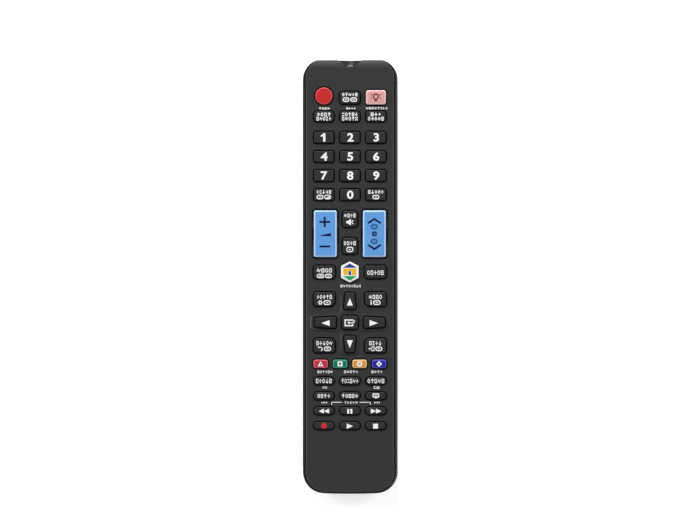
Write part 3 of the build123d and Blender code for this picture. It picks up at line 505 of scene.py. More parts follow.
class Ink:
    """Gathers printed shapes as thin closed prisms on the plane of a key or of the face."""

    def __init__(self, low, high):
        self.bm = bmesh.new()
        self.low, self.high = low, high
        self.line, self.mat = LEGEND_LINE, 0
        self.at(0, 0)

    def at(self, x, y, scale=1.0, stretch=1.0):
        self.x, self.y, self.scale, self.stretch = x, y, scale, stretch
        return self

    def loop(self, points, z):
        across = self.scale * self.stretch
        return [self.bm.verts.new((self.x + p[0] * across, self.y + p[1] * self.scale, z)) for p in points]

    def poly(self, points):
        tube(self.bm, [self.loop(points, z) for z in (self.low, self.high)], self.mat)

    def band(self, outer, inner):
        """A closed band between two outlines with the same number of points."""
        loops = [self.loop(points, z) for z in (self.low, self.high) for points in (outer, inner)]
        for first, second in ((0, 1), (1, 3), (3, 2), (2, 0)):
            bridge(self.bm, loops[first], loops[second], self.mat)

    def bar(self, x, y, width, height, angle=0.0):
        corners = rectangle(width / 2, height / 2)
        self.poly([Vector((x, y)) + turned(Vector(c), radians(angle)) for c in corners])

    def disc(self, x, y, radius, steps=16):
        self.poly([Vector((x, y)) + p for p in circle_loop(radius, steps)])

    def oval(self, x, y, across, along, t, steps=20):
        centre, t = Vector((x, y)), t / self.scale
        outer, inner = oval_loop(across, along, steps), oval_loop(across - t, along - t, steps)
        self.band([centre + p for p in outer], [centre + p for p in inner])

    def ring(self, x, y, radius, t, steps=20):
        self.oval(x, y, radius, radius, t, steps)

    def frame(self, x, y, width, height, radius, t):
        corners = [(x + across, y + along) for across, along in rectangle(width / 2, height / 2)]
        self.band(*(soft_loop(corners, 4 * (radius,), inset, 3) for inset in (0, t / self.scale)))

    def stroke(self, points, t):
        """A line of that thickness in millimetres with mitred bends."""
        t = t / self.scale / 2
        points = [Vector(p) for p in points]
        left, right = [], []
        for index, point in enumerate(points):
            before = (point - points[index - 1]).normalized() if index else None
            after = (points[index + 1] - point).normalized() if index + 1 < len(points) else None
            before, after = before or after, after or before
            across = Vector((-(before + after).y, (before + after).x)).normalized()
            reach = t / max(LEAST_MITRE, across.dot(Vector((-before.y, before.x))))
            left.append(point + across * reach)
            right.append(point - across * reach)
        self.poly(right + left[::-1])

    def arc(self, x, y, radius, start, end, t, steps=8):
        turns = [radians(start + (end - start) * step / steps) for step in range(steps + 1)]
        self.stroke([(x + radius * cos(a), y + radius * sin(a)) for a in turns], t)

    def arrow_head(self, x, y, angle, size):
        """A solid arrow head with its tip there."""
        tip = Vector((x, y))
        wings = [turned(Vector((-size, side * size * ARROW_SPREAD)), radians(angle)) for side in (1, -1)]
        self.poly([tip + wing for wing in wings] + [tip])

    def triangle(self, tip, middle, half):
        """A solid triangle from its tip and its base's middle."""
        tip, middle = Vector(tip), Vector(middle)
        along = (tip - middle).normalized()
        across = Vector((-along.y, along.x)) * half
        self.poly([tip, middle + across, middle - across])

    def plus(self, x, y, reach, half):
        """A plus as one outline, from its arms' reach and half their width."""
        corners = ((half, -reach), (half, -half), (reach, -half))
        arms = [turned(Vector(c), quarter * pi / 2) for quarter in range(4) for c in corners]
        self.poly([Vector((x, y)) + p for p in arms])

    def finish(self, name, body, mats):
        make_piece(self.bm, name, body, mats)


# Symbols that fill the rows. Each reaches about 1 up and down from its middle

ICONS = {}


def symbol(reach):
    """Lists a drawing by its name, with how far it reaches to each side."""
    def listed(draw):
        ICONS[draw.__name__.removeprefix("draw_")] = (draw, reach)
        return draw

    return listed


@symbol(0.8)
def draw_ring(i):
    i.oval(0, 0, 0.8, 1.0, i.line)


@symbol(0.95)
def draw_up(i, way=1):
    i.stroke([(0, -way), (0, 0.6 * way)], i.line)
    i.stroke([(-0.75, 0.15 * way), (0, 0.92 * way), (0.75, 0.15 * way)], i.line)


@symbol(0.95)
def draw_down(i):
    draw_up(i, -1)


@symbol(0.98)
def draw_ahead(i):
    i.stroke([(-0.95, 0), (0.55, 0)], i.line)
    i.stroke([(0.0, 0.8), (0.8, 0), (0.0, -0.8)], i.line)


@symbol(0.8)
def draw_play(i):
    i.poly([(-0.65, 0.95), (-0.65, -0.95), (0.8, 0)])


@symbol(0.75)
def draw_square(i):
    i.frame(0, 0, 1.5, 2.0, 0.2, i.line)


@symbol(0.8)
def draw_page(i):
    i.frame(0, 0, 1.6, 2.0, 0.2, i.line)
    i.bar(0, 0, 0.6, 0.3)


@symbol(1.0)
def draw_wave(i):
    i.stroke([(-0.95, -0.55), (-0.32, 0.6), (0.32, -0.6), (0.95, 0.55)], i.line)


@symbol(0.85)
def draw_plus(i):
    i.bar(0, 0, 1.7, i.line / i.scale)
    i.bar(0, 0, i.line / i.scale, 1.9)


@symbol(0.9)
def draw_star(i):
    for angle in (30, 90, 150):
        i.bar(0, 0, 1.9, 0.9 * i.line / i.scale, angle)


@symbol(0.75)
def draw_pair(i):
    for y in (-0.6, 0.6):
        i.bar(0, y, 1.5, 1.1 * i.line / i.scale)


@symbol(0.8)
def draw_grid(i):
    for x, y in rectangle(0.48, 0.56):
        i.bar(x, y, 0.62, 0.76)


@symbol(0.75)
def draw_bolt(i):
    i.poly([(0.2, 1), (-0.75, -0.2), (-0.1, -0.2), (-0.25, -1), (0.75, 0.25), (0.1, 0.25)])


@symbol(0.72)
def draw_glass(i):
    for way in (1, -1):
        i.poly([(-0.72, way), (0.72, way), (0.08, 0), (-0.08, 0)])


@symbol(0.85)
def draw_diamond(i):
    inner = max(0.2, 1 - 1.5 * i.line / i.scale)
    outline = [(0, 1), (-0.85, 0), (0, -1), (0.85, 0)]
    i.band(outline, [(x * inner, y * inner) for x, y in outline])


@symbol(1.6)
def draw_pill(i):
    i.frame(0, 0, 3.2, 2.0, 0.95, 0.5)
    i.bar(0, 0, 1.1, 0.36)


@symbol(1.6)
def draw_half(i):
    i.frame(0, 0, 3.2, 2.0, 0.95, 0.42)
    i.poly([(-0.95, -0.5), (0.95, 0.55), (0.95, -0.2), (0.5, -0.5)])


@symbol(1.75)
def draw_cells(i):
    i.frame(0, 0, 3.5, 2.0, 0.8, 0.4)
    for x in (-0.72, 0.0, 0.72):
        i.bar(x, 0, 0.34, 1.1)


@symbol(1.0)
def draw_speaker(i):
    i.poly([(-1.0, 0.35), (-1.0, -0.35), (-0.55, -0.35), (0.3, -0.98), (0.3, 0.98), (-0.55, 0.35)])
    for way in (1, -1):
        i.bar(0.72, 0.3 * way, 0.62, 0.26, 45 * way)


@symbol(1.02)
def draw_gear(i):
    i.ring(0, 0, 0.72, 0.42)
    for angle in range(0, 360, 60):
        i.bar(0.84 * cos(radians(angle)), 0.84 * sin(radians(angle)), 0.36, 0.44, angle)


@symbol(0.45)
def draw_mark(i):
    i.disc(0, 0.74, 0.3, 10)
    i.bar(0, -0.3, 0.46, 1.3)


@symbol(1.25)
def draw_back(i):
    i.arc(0.1, -0.1, 0.75, -80, 90, 0.42)
    i.bar(-0.3, 0.65, 0.8, 0.42)
    i.arrow_head(-1.25, 0.65, 180, 0.62)


@symbol(1.4)
def draw_door(i):
    i.stroke([(0.15, 0.5), (0.15, 0.82), (1.2, 0.82), (1.2, -0.82), (0.15, -0.82), (0.15, -0.5)], 0.38)
    i.bar(-0.2, 0, 1.1, 0.36)
    i.arrow_head(-1.35, 0, 180, 0.7)


@symbol(1.25)
def draw_screen(i):
    i.frame(0, 0.2, 2.4, 1.5, 0.3, 0.5)
    i.bar(0, 0.2, 0.9, 0.3)
    i.poly([(-0.75, -0.62), (0.75, -0.62), (0.0, -1.0)])


@symbol(1.55)
def draw_rings(i):
    for x in (-0.6, 0.6):
        i.ring(x, 0, 0.95, i.line)


@symbol(1.4)
def draw_inset(i):
    i.frame(0, 0, 2.8, 2.0, 0.25, i.line)
    i.bar(0.4, -0.25, 1.0, 0.7)


@symbol(1.85)
def draw_skip_ahead(i, way=1):
    i.bar(1.65 * way, 0, 0.34, 1.7)
    for x in (1.4, 0.1):
        i.poly([(x * way, 0), ((x - 1.25) * way, 0.8), ((x - 1.25) * way, -0.8)])


@symbol(1.85)
def draw_skip_back(i):
    draw_skip_ahead(i, -1)


def draw_row(ink, x, y, half, width, names, line=LEGEND_LINE, gap=LEGEND_GAP):
    """A row of symbols, half their height each way from y, drawn narrower or wider to fill the width."""
    names = names.split()
    natural = sum(2 * ICONS[n][1] * half for n in names)
    stretch = (width - gap * (len(names) - 1)) / natural
    start = x - width / 2
    ink.line = line
    for n in names:
        draw, reach = ICONS[n]
        reach *= half * stretch
        draw(ink.at(start + reach, y, half, stretch))
        start += 2 * reach + gap


# The tables name a key by its node, without _key
# Rows on the keys: height from the key's middle, half a symbol's height, width and symbols
LEGENDS = {
    "source": ((1.6, 0.85, 7.7, "ring up wave plus page"), (-0.95, 1.1, 7.4, "pill pill")),
    "mode": ((1.0, 0.95, 7.0, "star ring square up"), (-1.15, 0.98, 7.4, "page wave ring glass plus")),
    "help": ((1.0, 0.95, 7.8, "pair ring up page plus"), (-1.15, 0.98, 7.9, "square wave ring up grid")),
    "web": ((1.0, 0.95, 5.2, "page plus bolt"), (-1.15, 0.98, 8.0, "ring ahead star wave page")),
    "teletext": ((1.35, 0.9, 7.4, "plus pair down ahead page"), (-1.2, 1.15, 7.4, "pill half")),
    "previous_channel": ((1.35, 0.9, 7.8, "page down diamond ring plus"), (-1.2, 1.15, 3.5, "pill")),
    "mute": ((1.75, 1.0, 5.8, "wave square plus page"), (-1.6, 1.75, 3.6, "speaker")),
    "channel_list": ((1.4, 1.0, 6.0, "ring grid plus page"), (-1.75, 1.35, 3.6, "pill")),
    "menu": ((0.8, 1.05, 7.6, "wave page ring square"), (-2.0, 1.1, 7.6, "cells pill")),
    "guide": ((-0.35, 1.15, 8.3, "ring square plus ring page"),),
    "tools": ((1.15, 1.05, 7.6, "plus ring diamond up page"), (-1.7, 1.2, 6.5, "gear pill")),
    "info": ((1.15, 1.05, 6.6, "star square page ring"), (-1.7, 1.2, 5.3, "mark pill")),
    "return": ((1.15, 1.05, 8.0, "page plus down ring wave"), (-1.7, 1.15, 6.8, "back pill")),
    "exit": ((1.15, 1.05, 6.2, "page glass plus down"), (-1.7, 1.15, 7.1, "door pill")),
    "history": ((-0.1, 1.1, 7.9, "square plus ring down page"),),
    "album": ((-0.1, 1.15, 8.5, "up ring pair page wave plus"),),
    "camera": ((-0.1, 1.1, 8.4, "ring up square wave page"),),
    "sound": ((-0.1, 0.98, 6.4, "ring square up plus"),),
    "subtitle": ((-0.1, 1.0, 8.2, "up ring page square star"),),
    "screen": ((-0.1, 1.35, 3.5, "screen"),),
}
# Rows on the face: their middle as a picture point, half a symbol's height, width and symbols
LABELS = (
    (324.3, 108.35, 0.62, 5.6, "up ring square wave"),
    (350.9, 108.35, 0.62, 4.8, "ring play bolt plus"),
    (376.8, 108.2, 0.64, 11.0, "wave page ring star up pair play plus"),
    (350.6, 286.0, 0.68, 10.3, "page wave up ring plus square down grid"),
    (325.0, 371.8, 0.7, 7.7, "page ring up plus square wave"),
    (351.0, 371.8, 0.7, 7.0, "page wave ring up plus"),
    (376.9, 371.8, 0.7, 5.5, "page star up plus"),
    (324.7, 387.4, 0.66, 2.5, "rings"),
    (376.7, 387.4, 0.68, 2.9, "inset"),
    (325.0, 402.5, 0.62, 3.5, "skip_back"),
    (351.0, 402.4, 0.7, 6.8, "up play ring plus wave"),
    (376.4, 402.5, 0.62, 3.4, "skip_ahead"),
)
# The line beside the lowest middle label: each half's inner and outer column, and its two rows
BRACKETS = ((341.9, 331.7), (359.7, 370.4))
BRACKET_ROWS = (402.3, 404.7)
BRACKET_LINE = 0.34

DIGIT_HEIGHT = 4.25
DIGIT_STRETCH = 1.16
DIGIT_WEIGHT = 0.026
DIGIT_SHIFT = 0.2
DIGIT_SHIFTS = {"2": 0.3, "7": 0.12}
# The digit one isn't the typeface's: its outline, across in millimetres and along in half heights
DIGIT_ONE = (
    (0.76, -1), (0.76, 1), (-0.13, 1), (-0.6, 0.73), (-1.54, 0.48), (-1.54, 0.13), (-0.83, 0.24),
    (-0.35, 0.37), (-0.35, -1),
)


def draw_digit(ink, digit):
    """A bold digit from the built-in typeface, made a little wider, as a solid."""
    if digit == "1":
        ink.poly([(x, y * DIGIT_HEIGHT / 2) for x, y in DIGIT_ONE])
        return
    curve = bpy.data.curves.new("digit", "FONT")
    curve.body, curve.offset, curve.resolution_u = digit, DIGIT_WEIGHT, 5
    shape = in_scene("digit", curve)
    bpy.context.view_layer.update()
    mesh = bpy.data.meshes.new_from_object(shape.evaluated_get(bpy.context.evaluated_depsgraph_get()))
    bpy.data.objects.remove(shape)
    middle_x, _ = extent(mesh.vertices, 0)
    middle_y, height = extent(mesh.vertices, 1)
    tall = DIGIT_HEIGHT / height
    wide = tall * DIGIT_STRETCH
    x, y = ink.x + DIGIT_SHIFTS.get(digit, DIGIT_SHIFT), ink.y
    flat = bmesh.new()
    flat.from_mesh(mesh)
    for v in flat.verts:
        v.co = Vector(((v.co.x - middle_x) * wide + x, (v.co.y - middle_y) * tall + y, ink.low))
    bmesh.ops.remove_doubles(flat, verts=flat.verts, dist=0.001)
    top = bmesh.ops.extrude_face_region(flat, geom=flat.faces[:])
    for element in top["geom"]:
        if isinstance(element, bmesh.types.BMVert):
            element.co.z = ink.high
    flat.to_mesh(mesh)
    flat.free()
    ink.bm.from_mesh(mesh)
    bpy.data.meshes.remove(mesh)


def draw_bulb(i):
    i.arc(0, 0.5, 1.2, -48, 228, 0.62, 14)
    i.stroke([(-0.78, -0.4), (-0.55, -1.1), (0.55, -1.1), (0.78, -0.4)], 0.6)
    i.bar(0, -1.78, 1.1, 0.52)
    for angle in (20, 160):
        turn = radians(angle)
        i.bar(2.2 * cos(turn), 0.5 + 2.2 * sin(turn), 0.7, 0.55, angle)
    for side in (-1, 1):
        i.bar(side * 2.2, -0.3, 0.6, 0.55, side * -14)


def draw_house(i):
    """A roof, walls with a door, and the ground, each in its own ink."""
    i.mat = 1
    i.poly([(0, 4.35), (-3.6, 2.15), (3.6, 2.15)])
    i.mat = 2
    walls = [(-3.3, 1.75), (-3.3, -1.6), (-0.95, -1.6), (-0.95, 0.55)]
    i.poly(walls + [(-x, y) for x, y in walls[::-1]])
    i.mat = 1
    i.bar(0, -0.6, 1.3, 2.0)
    i.mat = 3
    i.poly([(-3.55, -2.05), (3.55, -2.05), (0, -4.35)])


def draw_enter(i):
    i.at(i.x - 0.1, i.y, 0.9)
    i.stroke([(1.7, 0.95), (1.7, 1.4), (-2.55, 1.4), (-2.55, -1.8), (1.7, -1.8), (1.7, -0.75)], 0.6)
    i.bar(0.75, -0.2, 1.9, 0.5)
    i.arrow_head(-1.3, -0.2, 180, 1.15)
    i.stroke([(1.75, -0.2), (2.35, 0.2), (2.7, 1.2)], 0.5)


def draw_volume(i):
    i.plus(-0.3, 6.0, 2.65, 0.5)
    i.poly([(-2.55, -1.15), (2.9, -1.25), (2.9, 0.45), (2.15, 0.2), (-2.55, -0.8)])
    i.bar(-0.3, -6.45, 5.3, 1.0)


def draw_channel(i):
    for foot, tip in ((5.35, 7.5), (-5.6, -7.75)):
        i.stroke([(-3.25, foot), (0, tip), (3.25, foot)], 0.98)
    i.frame(0, -0.05, 2.35, 2.4, 0.4, 0.62)
    i.poly([(-0.45, -0.55), (0.65, -0.05), (-0.45, 0.45)])
    i.mat = 1
    for y in (3.55, -3.9):
        i.frame(-0.1, y, 3.55, 2.75, 1.3, 0.66)
        i.bar(-0.1, y, 1.3, 0.5)


DRAWINGS = {
    "light": draw_bulb, "home": draw_house, "enter": draw_enter,
    "volume_rocker": draw_volume, "channel_rocker": draw_channel,
}
SIGNS = {
    # a key's plain shapes, each with its places and sizes from the key's middle
    "up": [(Ink.triangle, (0, 1.4), (0, -2.35), 1.5)],
    "down": [(Ink.triangle, (0, -2.0), (0, 1.95), 1.5)],
    "left": [(Ink.triangle, (-1.95, -0.3), (2.2, -0.3), 1.5)],
    "right": [(Ink.triangle, (1.85, -0.3), (-2.4, -0.3), 1.5)],
    "red": [
        (Ink.band, ((0, 1.4), (-1.45, -1.2), (1.45, -1.2)), ((0, 0.35), (-0.62, -0.68), (0.62, -0.68))),
    ],
    "green": [(Ink.frame, 0, 0, 2.5, 2.5, 0.3, 0.66)],
    "yellow": [(Ink.ring, 0, 0, 1.36, 0.68, 24)],
    "blue": [
        (Ink.band, *([(0, half), (-half, 0), (0, -half), (half, 0)] for half in (1.5, 0.62))),
    ],
    "rewind": [(Ink.triangle, (x, -0.2), (x + 2.65, -0.2), 1.25) for x in (-2.6, 0.05)],
    "forward": [(Ink.triangle, (x, -0.2), (x - 2.65, -0.2), 1.25) for x in (2.75, 0.1)],
    "pause": [(Ink.bar, x, -0.3, 1.0, 2.35) for x in (-0.84, 0.76)],
    "record": [(Ink.disc, 0.1, -0.1, 1.45, 28)],
    "play": [(Ink.triangle, (1.6, -0.25), (-1.6, -0.25), 1.32)],
    "stop": [(Ink.bar, -0.15, -0.25, 2.5, 2.45)],
}


def draw_key_mark(ink, key):
    """The symbols on one key, if it has any. The ink is placed in the middle of its cap."""
    x, y = ink.x, ink.y
    for above, half, width, names in LEGENDS.get(key, ()):
        draw_row(ink, x, y + above, half, width, names)
    if key.startswith("digit_"):
        draw_digit(ink, key.removeprefix("digit_"))
    if key in DRAWINGS:
        DRAWINGS[key](ink)
    for shape, *values in SIGNS.get(key, ()):
        shape(ink, *values)


# Keys

CUT_Z = 18.6
CAP_LAP = 0.1
CAP_EDGE = 0.58
CAP_EDGES = {"volume_rocker": 0.92, "channel_rocker": 0.92, "light": 0.8}
CAP_TURNS = (0, 30, 45, 60, 90)
CAP_INSET = 0.08
CAP_CROWN = 0.04
# Inside the rolled edge: how far in, and the share of the crown that is still to rise
CAP_CROWN_STEPS = ((0.35, 0.4), (0.75, 0))
# Materials from the foot inwards: the rolled edge in painted shade, its upper part in painted light, and the
# cap
CAP_BANDS = (1, 1, 1, 2, 2, 0, 0)
INK_RISE = 0.03
INK_SINK = 0.08
FACE_INK_SINK = 0.05
HEXAGON = ((0, 5.65), (-4.7, 3.15), (-4.7, -3.15), (0, -5.65), (4.7, -3.15), (4.7, 3.15))
# An arrow key: its length and its widths at the inner and the outer end
ARROW_ACROSS = (11.15, 6.2, 5.0)
ARROW_ALONG = (8.85, 6.5, 5.0)
ARROWS = {
    "up": (ARROW_ALONG, 0), "down": (ARROW_ALONG, 180),
    "left": (ARROW_ACROSS, 90), "right": (ARROW_ACROSS, -90),
}
# Corner radii, or four in the order of rectangle's corners
KEY_RADIUS = 1.8
DIGIT_KEY_RADIUS = 1.0
RADII = {
    "source": 1.3, "mode": 1.3, "help": 1.3, "web": 1.3, "light": 1.4, "menu": 1.4,
    "guide": 1.4, "mute": 1.5, "channel_list": 1.5, "enter": 1.5, "volume_rocker": 1.2,
    "channel_rocker": 1.2, "red": 1.2, "green": 1.2, "yellow": 1.2, "blue": 1.2,
    "teletext": 1.0, "previous_channel": 1.0, "home": 0.9, "up": 1.0, "down": 1.0, "left": 1.0, "right": 1.0,
    "tools": (1.2, 1.2, 1.2, 2.8), "info": (1.2, 1.2, 2.8, 1.2),
    "return": (2.8, 1.2, 1.2, 1.2), "exit": (1.2, 2.8, 1.2, 1.2),
}
INKS = {
    "light": "maroon", "volume_rocker": "navy", "channel_rocker": "navy slate", "record": "red",
    "home": "white roof yellow green",
}


def cap_outline(key, half_x, half_y):
    """A function that gives the cap's outline drawn in by an inset."""
    if key == "power":
        return lambda inset: circle_loop(half_x - inset, 48)
    corners = HEXAGON if key == "home" else rectangle(half_x, half_y)
    if key in ARROWS:
        (length, inner, outer), turn = ARROWS[key]
        arrow = ((outer, length), (-outer, length), (-inner, -length), (inner, -length))
        corners = [turned(Vector(c) / 2, radians(turn)) for c in arrow]
    radii = RADII.get(key, DIGIT_KEY_RADIUS if key.startswith("digit_") else KEY_RADIUS)
    if isinstance(radii, float):
        radii = len(corners) * (radii,)
    return lambda inset: soft_loop(corners, radii, inset)


def make_key(name):
    """A key: its hidden foot is the CAD form, and its cap has a rolled edge, a faint crown and its marks."""
    bm = cad_mesh(name)
    key = name.removesuffix("_key")
    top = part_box(name)[1].z / MM - INK_RISE
    section = cut(bm, (0, 0, CUT_Z), (0, 0, 1), clear_outer=True)
    rim = [e for e in section if isinstance(e, bmesh.types.BMEdge)]
    # painted shade: the hidden foot takes the darkened material
    for face in bm.faces:
        face.material_index = 1
    (x, width), (y, length) = (extent([v for e in rim for v in e.verts], axis) for axis in (0, 1))
    bmesh.ops.contextual_create(bm, geom=rim)
    outline = cap_outline(key, width / 2, length / 2)
    edge = CAP_EDGES.get(key, CAP_EDGE)
    drawn = CAP_INSET + edge
    profile = [(0.0, CUT_Z - CAP_LAP)]
    for turn in map(radians, CAP_TURNS):
        profile.append((drawn - edge * cos(turn), top - CAP_CROWN - edge * (1 - sin(turn))))
    profile += [(drawn + inwards, top - CAP_CROWN * share) for inwards, share in CAP_CROWN_STEPS]
    loops = []
    for inset, z in profile:
        loops.append([bm.verts.new((p.x + x, p.y + y, z)) for p in outline(inset)])
    for lower, upper, mat in zip(loops, loops[1:], CAP_BANDS):
        bridge(bm, lower, upper, mat)
    bm.faces.new(loops[-1])
    bm.faces.new(loops[0][::-1])
    slot = next((word for word in name.split("_") if word in PALETTE), "key")
    make_piece(bm, name + "_cap", name, [slot, slot + "_edge", slot + "_rim"], name)
    ink = Ink(top - INK_SINK, top + INK_RISE).at(x, y)
    draw_key_mark(ink, key)
    if ink.bm.faces:
        ink.finish(name + "_mark", name, [colour + "_ink" for colour in INKS.get(key, "white").split()])


def make_labels():
    """The small symbols printed on the face, and the line beside the lowest."""
    ink = Ink(FACE_TOP - FACE_INK_SINK, FACE_TOP + INK_RISE)
    for px, py, half, width, names in LABELS:
        draw_row(ink, *photo_place(px, py), half, width, names, LABEL_LINE, LABEL_GAP)
    upper, lower = BRACKET_ROWS
    for inner, outer in BRACKETS:
        points = [photo_place(*point) for point in ((inner, upper), (outer, upper), (outer, lower))]
        ink.at(0, 0).stroke(points, BRACKET_LINE)
    ink.finish("face_labels", "case", ["white_ink"])


# Shells

SHELL_ROUNDING = 0.15
KEY_BOXES = [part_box(name) for name in KEYS]
# Where the face's outer edge and the plateau take their painted highlight
HIGHLIGHT_FOOT = 19.0
HIGHLIGHT_SIDE = 21.0
HIGHLIGHT_TAIL = -94.0
HIGHLIGHT_HEAD = 97.0
PLATEAU_FOOT = 20.02
# How far a key's box reaches, for left slopes and for others
KEY_REACHES = (0.5, 0.9)
SLOPES = (0.2, 0.98)
LEFTWARDS = -0.3


def make_shell(name, node, body, mats, width=SHELL_ROUNDING, least=28.0, paint=None):
    """A CAD form with rounded edges. The paint gives a face's place in mats from its middle and normal."""
    bm = cad_mesh(node)
    softened(bm, width, least)
    bm.normal_update()
    for face in bm.faces:
        face.material_index = paint(face.calc_center_median(), face.normal) if paint else 0
    piece = make_piece(bm, name, body, mats, node)
    even = piece.modifiers.new("even_shading", "WEIGHTED_NORMAL")
    even.keep_sharp = True


def by_a_key(middle, reach):
    """Whether a point on the face is that near a key's box."""
    return any(
        all(low[axis] / MM - reach < middle[axis] < high[axis] / MM + reach for axis in (0, 1))
        for low, high in KEY_BOXES
    )


def paint_face_highlights(middle, normal):
    """Painted highlights: the face's outer edge and the plateau's slopes get a lighter, glossier colour, and
    the left slopes the lightest, as if lit from the left.
    """
    if middle.z < HIGHLIGHT_FOOT or not SLOPES[0] < normal.z < SLOPES[1]:
        return 0
    # left-facing slopes take the brightest painted highlight
    if middle.z > PLATEAU_FOOT and normal.x < LEFTWARDS and not by_a_key(middle, KEY_REACHES[0]):
        return 2
    if abs(middle.x) > HIGHLIGHT_SIDE:
        return 1 if HIGHLIGHT_TAIL < middle.y < HIGHLIGHT_HEAD else 0
    return 1 if middle.z > PLATEAU_FOOT and not by_a_key(middle, KEY_REACHES[1]) else 0


# Painted shade on the face: dark lines round its corners and round the rockers' openings

CORNERS = (
    # centre, radius, ramp start, ramp rows, the last angle, and the painted shade band's widths by angle
    ((13.9, 100.85), 9.7, 96.9, (97.9, 98.4, 98.9, 99.4, 99.9, 100.4), 73,
     ((0, 1.15), (30, 0.95), (45, 0.82), (60, 0.62), (68, 0.4), (73, 0.1))),
    ((13.1, -98.5), 10.5, -94.2, (-95.2, -95.7, -96.2, -96.7, -97.2, -97.8), -86,
     ((0, 1.15), (20, 1.0), (45, 0.75), (70, 0.55), (86, 0.3))),
)
CORNER_STEPS = 18
FACE_HALF_WIDTH = 22.25
RAMP_SLOPE = 0.4375
FACE_CHAMFER = 0.4
BAND_INNER_X = 22.42
BAND_START = 0.03
BAND_RISE = 0.035
BAND_DEPTH = 0.2
LEAST_STEP = 0.01
EDGE_LINE = 0.38
# The painted highlight line swells over some stations, and shrinks over some to a last share of its width
EDGE_LINE_IN = 5
EDGE_LINE_OUT = 8
EDGE_LINE_LAST_SHARE = 0.15
ROLL_START = 105.2
ROLL_RADIUS = 10.24
ROLL_END = 109.586
EDGE_CENTRE = (109.2, 18.2)
EDGE_RADIUS = 0.9
ROCKER_PLACE = (12.45, 21.9)
ROCKER_OPENING = (13.114, 25.164)
ROCKER_OPENING_RADIUS = 1.657
RIM_WIDTH = 0.42
RIM_CLEARANCE = 0.02


def head_height(y):
    """The face's height over a row: flat, then the head's wide arc and its tight one."""
    if y < ROLL_START:
        return FACE_TOP
    if y < ROLL_END:
        return FACE_TOP - ROLL_RADIUS + (ROLL_RADIUS**2 - (y - ROLL_START) ** 2) ** 0.5
    return EDGE_CENTRE[1] + max(0.0, EDGE_RADIUS**2 - (y - EDGE_CENTRE[0]) ** 2) ** 0.5


def between(stops, place):
    """The value at a place on a line of stops."""
    for (first, low), (last, high) in zip(stops, stops[1:]):
        if place <= last:
            return low + (high - low) * (place - first) / (last - first)
    return stops[-1][1]


def corner_stations(centre, radius, ramp_start, rows, last, widths):
    """Points round a right corner: where the face's edge is, the way inwards and the dark band's width."""
    stations = []
    for y in rows:
        x = min(centre[0] + radius, FACE_HALF_WIDTH + abs(y - ramp_start) * RAMP_SLOPE)
        stations.append((Vector((x, y)), Vector((-1, 0)), x - BAND_INNER_X))
    for step in range(CORNER_STEPS + 1):
        degree = last * step / CORNER_STEPS
        out = Vector((cos(radians(degree)), sin(radians(degree))))
        stations.append((Vector(centre) + out * radius, -out, between(widths, abs(degree))))
    return stations


def band_section(edge, inward, start, end):
    """A band's section at a station: three points along the face, then the same three under it."""
    section = []
    for depth in (start, min(max(FACE_CHAMFER, start + LEAST_STEP), (start + end) / 2), end):
        place = edge + inward * depth
        top = min(head_height(place.y), FACE_TOP - max(0.0, FACE_CHAMFER - depth)) + BAND_RISE
        section.append(Vector((place.x, place.y, top)))
    return section + [p - Vector((0, 0, BAND_DEPTH)) for p in section[::-1]]


def make_corner_bands():
    """A painted shade line that goes on round the corners from the rails, and a painted highlight line inside
    it.
    """
    bm = bmesh.new()
    for corner in CORNERS:
        stations = corner_stations(*corner)
        for side, mat in ((-1, 0), (-1, 1), (1, 0), (1, 1)):
            rings = []
            for index, (edge, inward, width) in enumerate(stations):
                left = len(stations) - 1 - index
                share = min(1.0, index / EDGE_LINE_IN, left / EDGE_LINE_OUT + EDGE_LINE_LAST_SHARE)
                start, end = (width, width + EDGE_LINE * share) if mat else (BAND_START, width)
                section = band_section(edge, inward, start, end)
                rings.append([bm.verts.new((p.x * side, p.y, p.z)) for p in section])
            tube(bm, rings, mat)
    make_piece(bm, "corner_bands", "case", ["groove", "face_edge"])


def make_rocker_rims():
    """A line of painted shade on the face round each rocker's opening."""
    ink = Ink(FACE_TOP - FACE_INK_SINK, FACE_TOP + BAND_RISE)
    width, height = (size + 2 * RIM_WIDTH for size in ROCKER_OPENING)
    x, y = ROCKER_PLACE
    for side in (-1, 1):
        ink.at(x * side, y)
        ink.frame(0, 0, width, height, ROCKER_OPENING_RADIUS + RIM_WIDTH, RIM_WIDTH - RIM_CLEARANCE)
    ink.finish("rocker_rims", "case", ["groove"])


# Inner parts

CAPACITOR_HEAD = 32
CAPACITOR_SLEEVE = (19.5, 28.9)
RESONATOR_TAIL = 65
CHIP_HALF_WIDTH = 3.7
CHIP_LEGS_Z = 14.0
CELL_X = 5.65
CELL_Z = 7.2
CELL_MIDDLE = -40
CELL_BARE_RADIUS = 5.0
CELL_ROUNDING = 0.35
# Cuts across the cells, from the tail. The bands lie outside the inner two
CELL_CUTS = (-62.6, -54.5, -25.5, -17.4)
SPRING_TURNS = 3.0
SPRING_STEPS = 36
SPRING_WIRE = 0.3
SPRING_RADII = (3.6, 2.3)
SPRING_HEIGHTS = (0.35, 4.25)
# A spring's seat across and along, and the way it points
SPRING_SEATS = ((-CELL_X, -14.825, -1), (CELL_X, -65.175, 1))
WIRE_SIDES = 10
DIODE_BASE = 99.0
DIODE_TIP = 107.6
DIODE_Z = 14.8
DIODE_RADIUS = 2.5
DIODE_FLANGE = (2.9, 1.0)
DIODE_BEVEL = 0.1
DIODE_FILLET = 0.06
DIODE_STEPS = 12
DIODE_LEGS = ((-1.27, 102.9), (1.27, 103.7))
DIODE_LEG_END = 95.6
DIODE_LEG_WIDTH = 0.5
DIODE_CUP_X = 0.62
DIODE_CUP = ((0, 103.0), (0.45, 103.0), (0.95, 103.9), (0.8, 103.9), (0.3, 103.3), (0, 103.3))


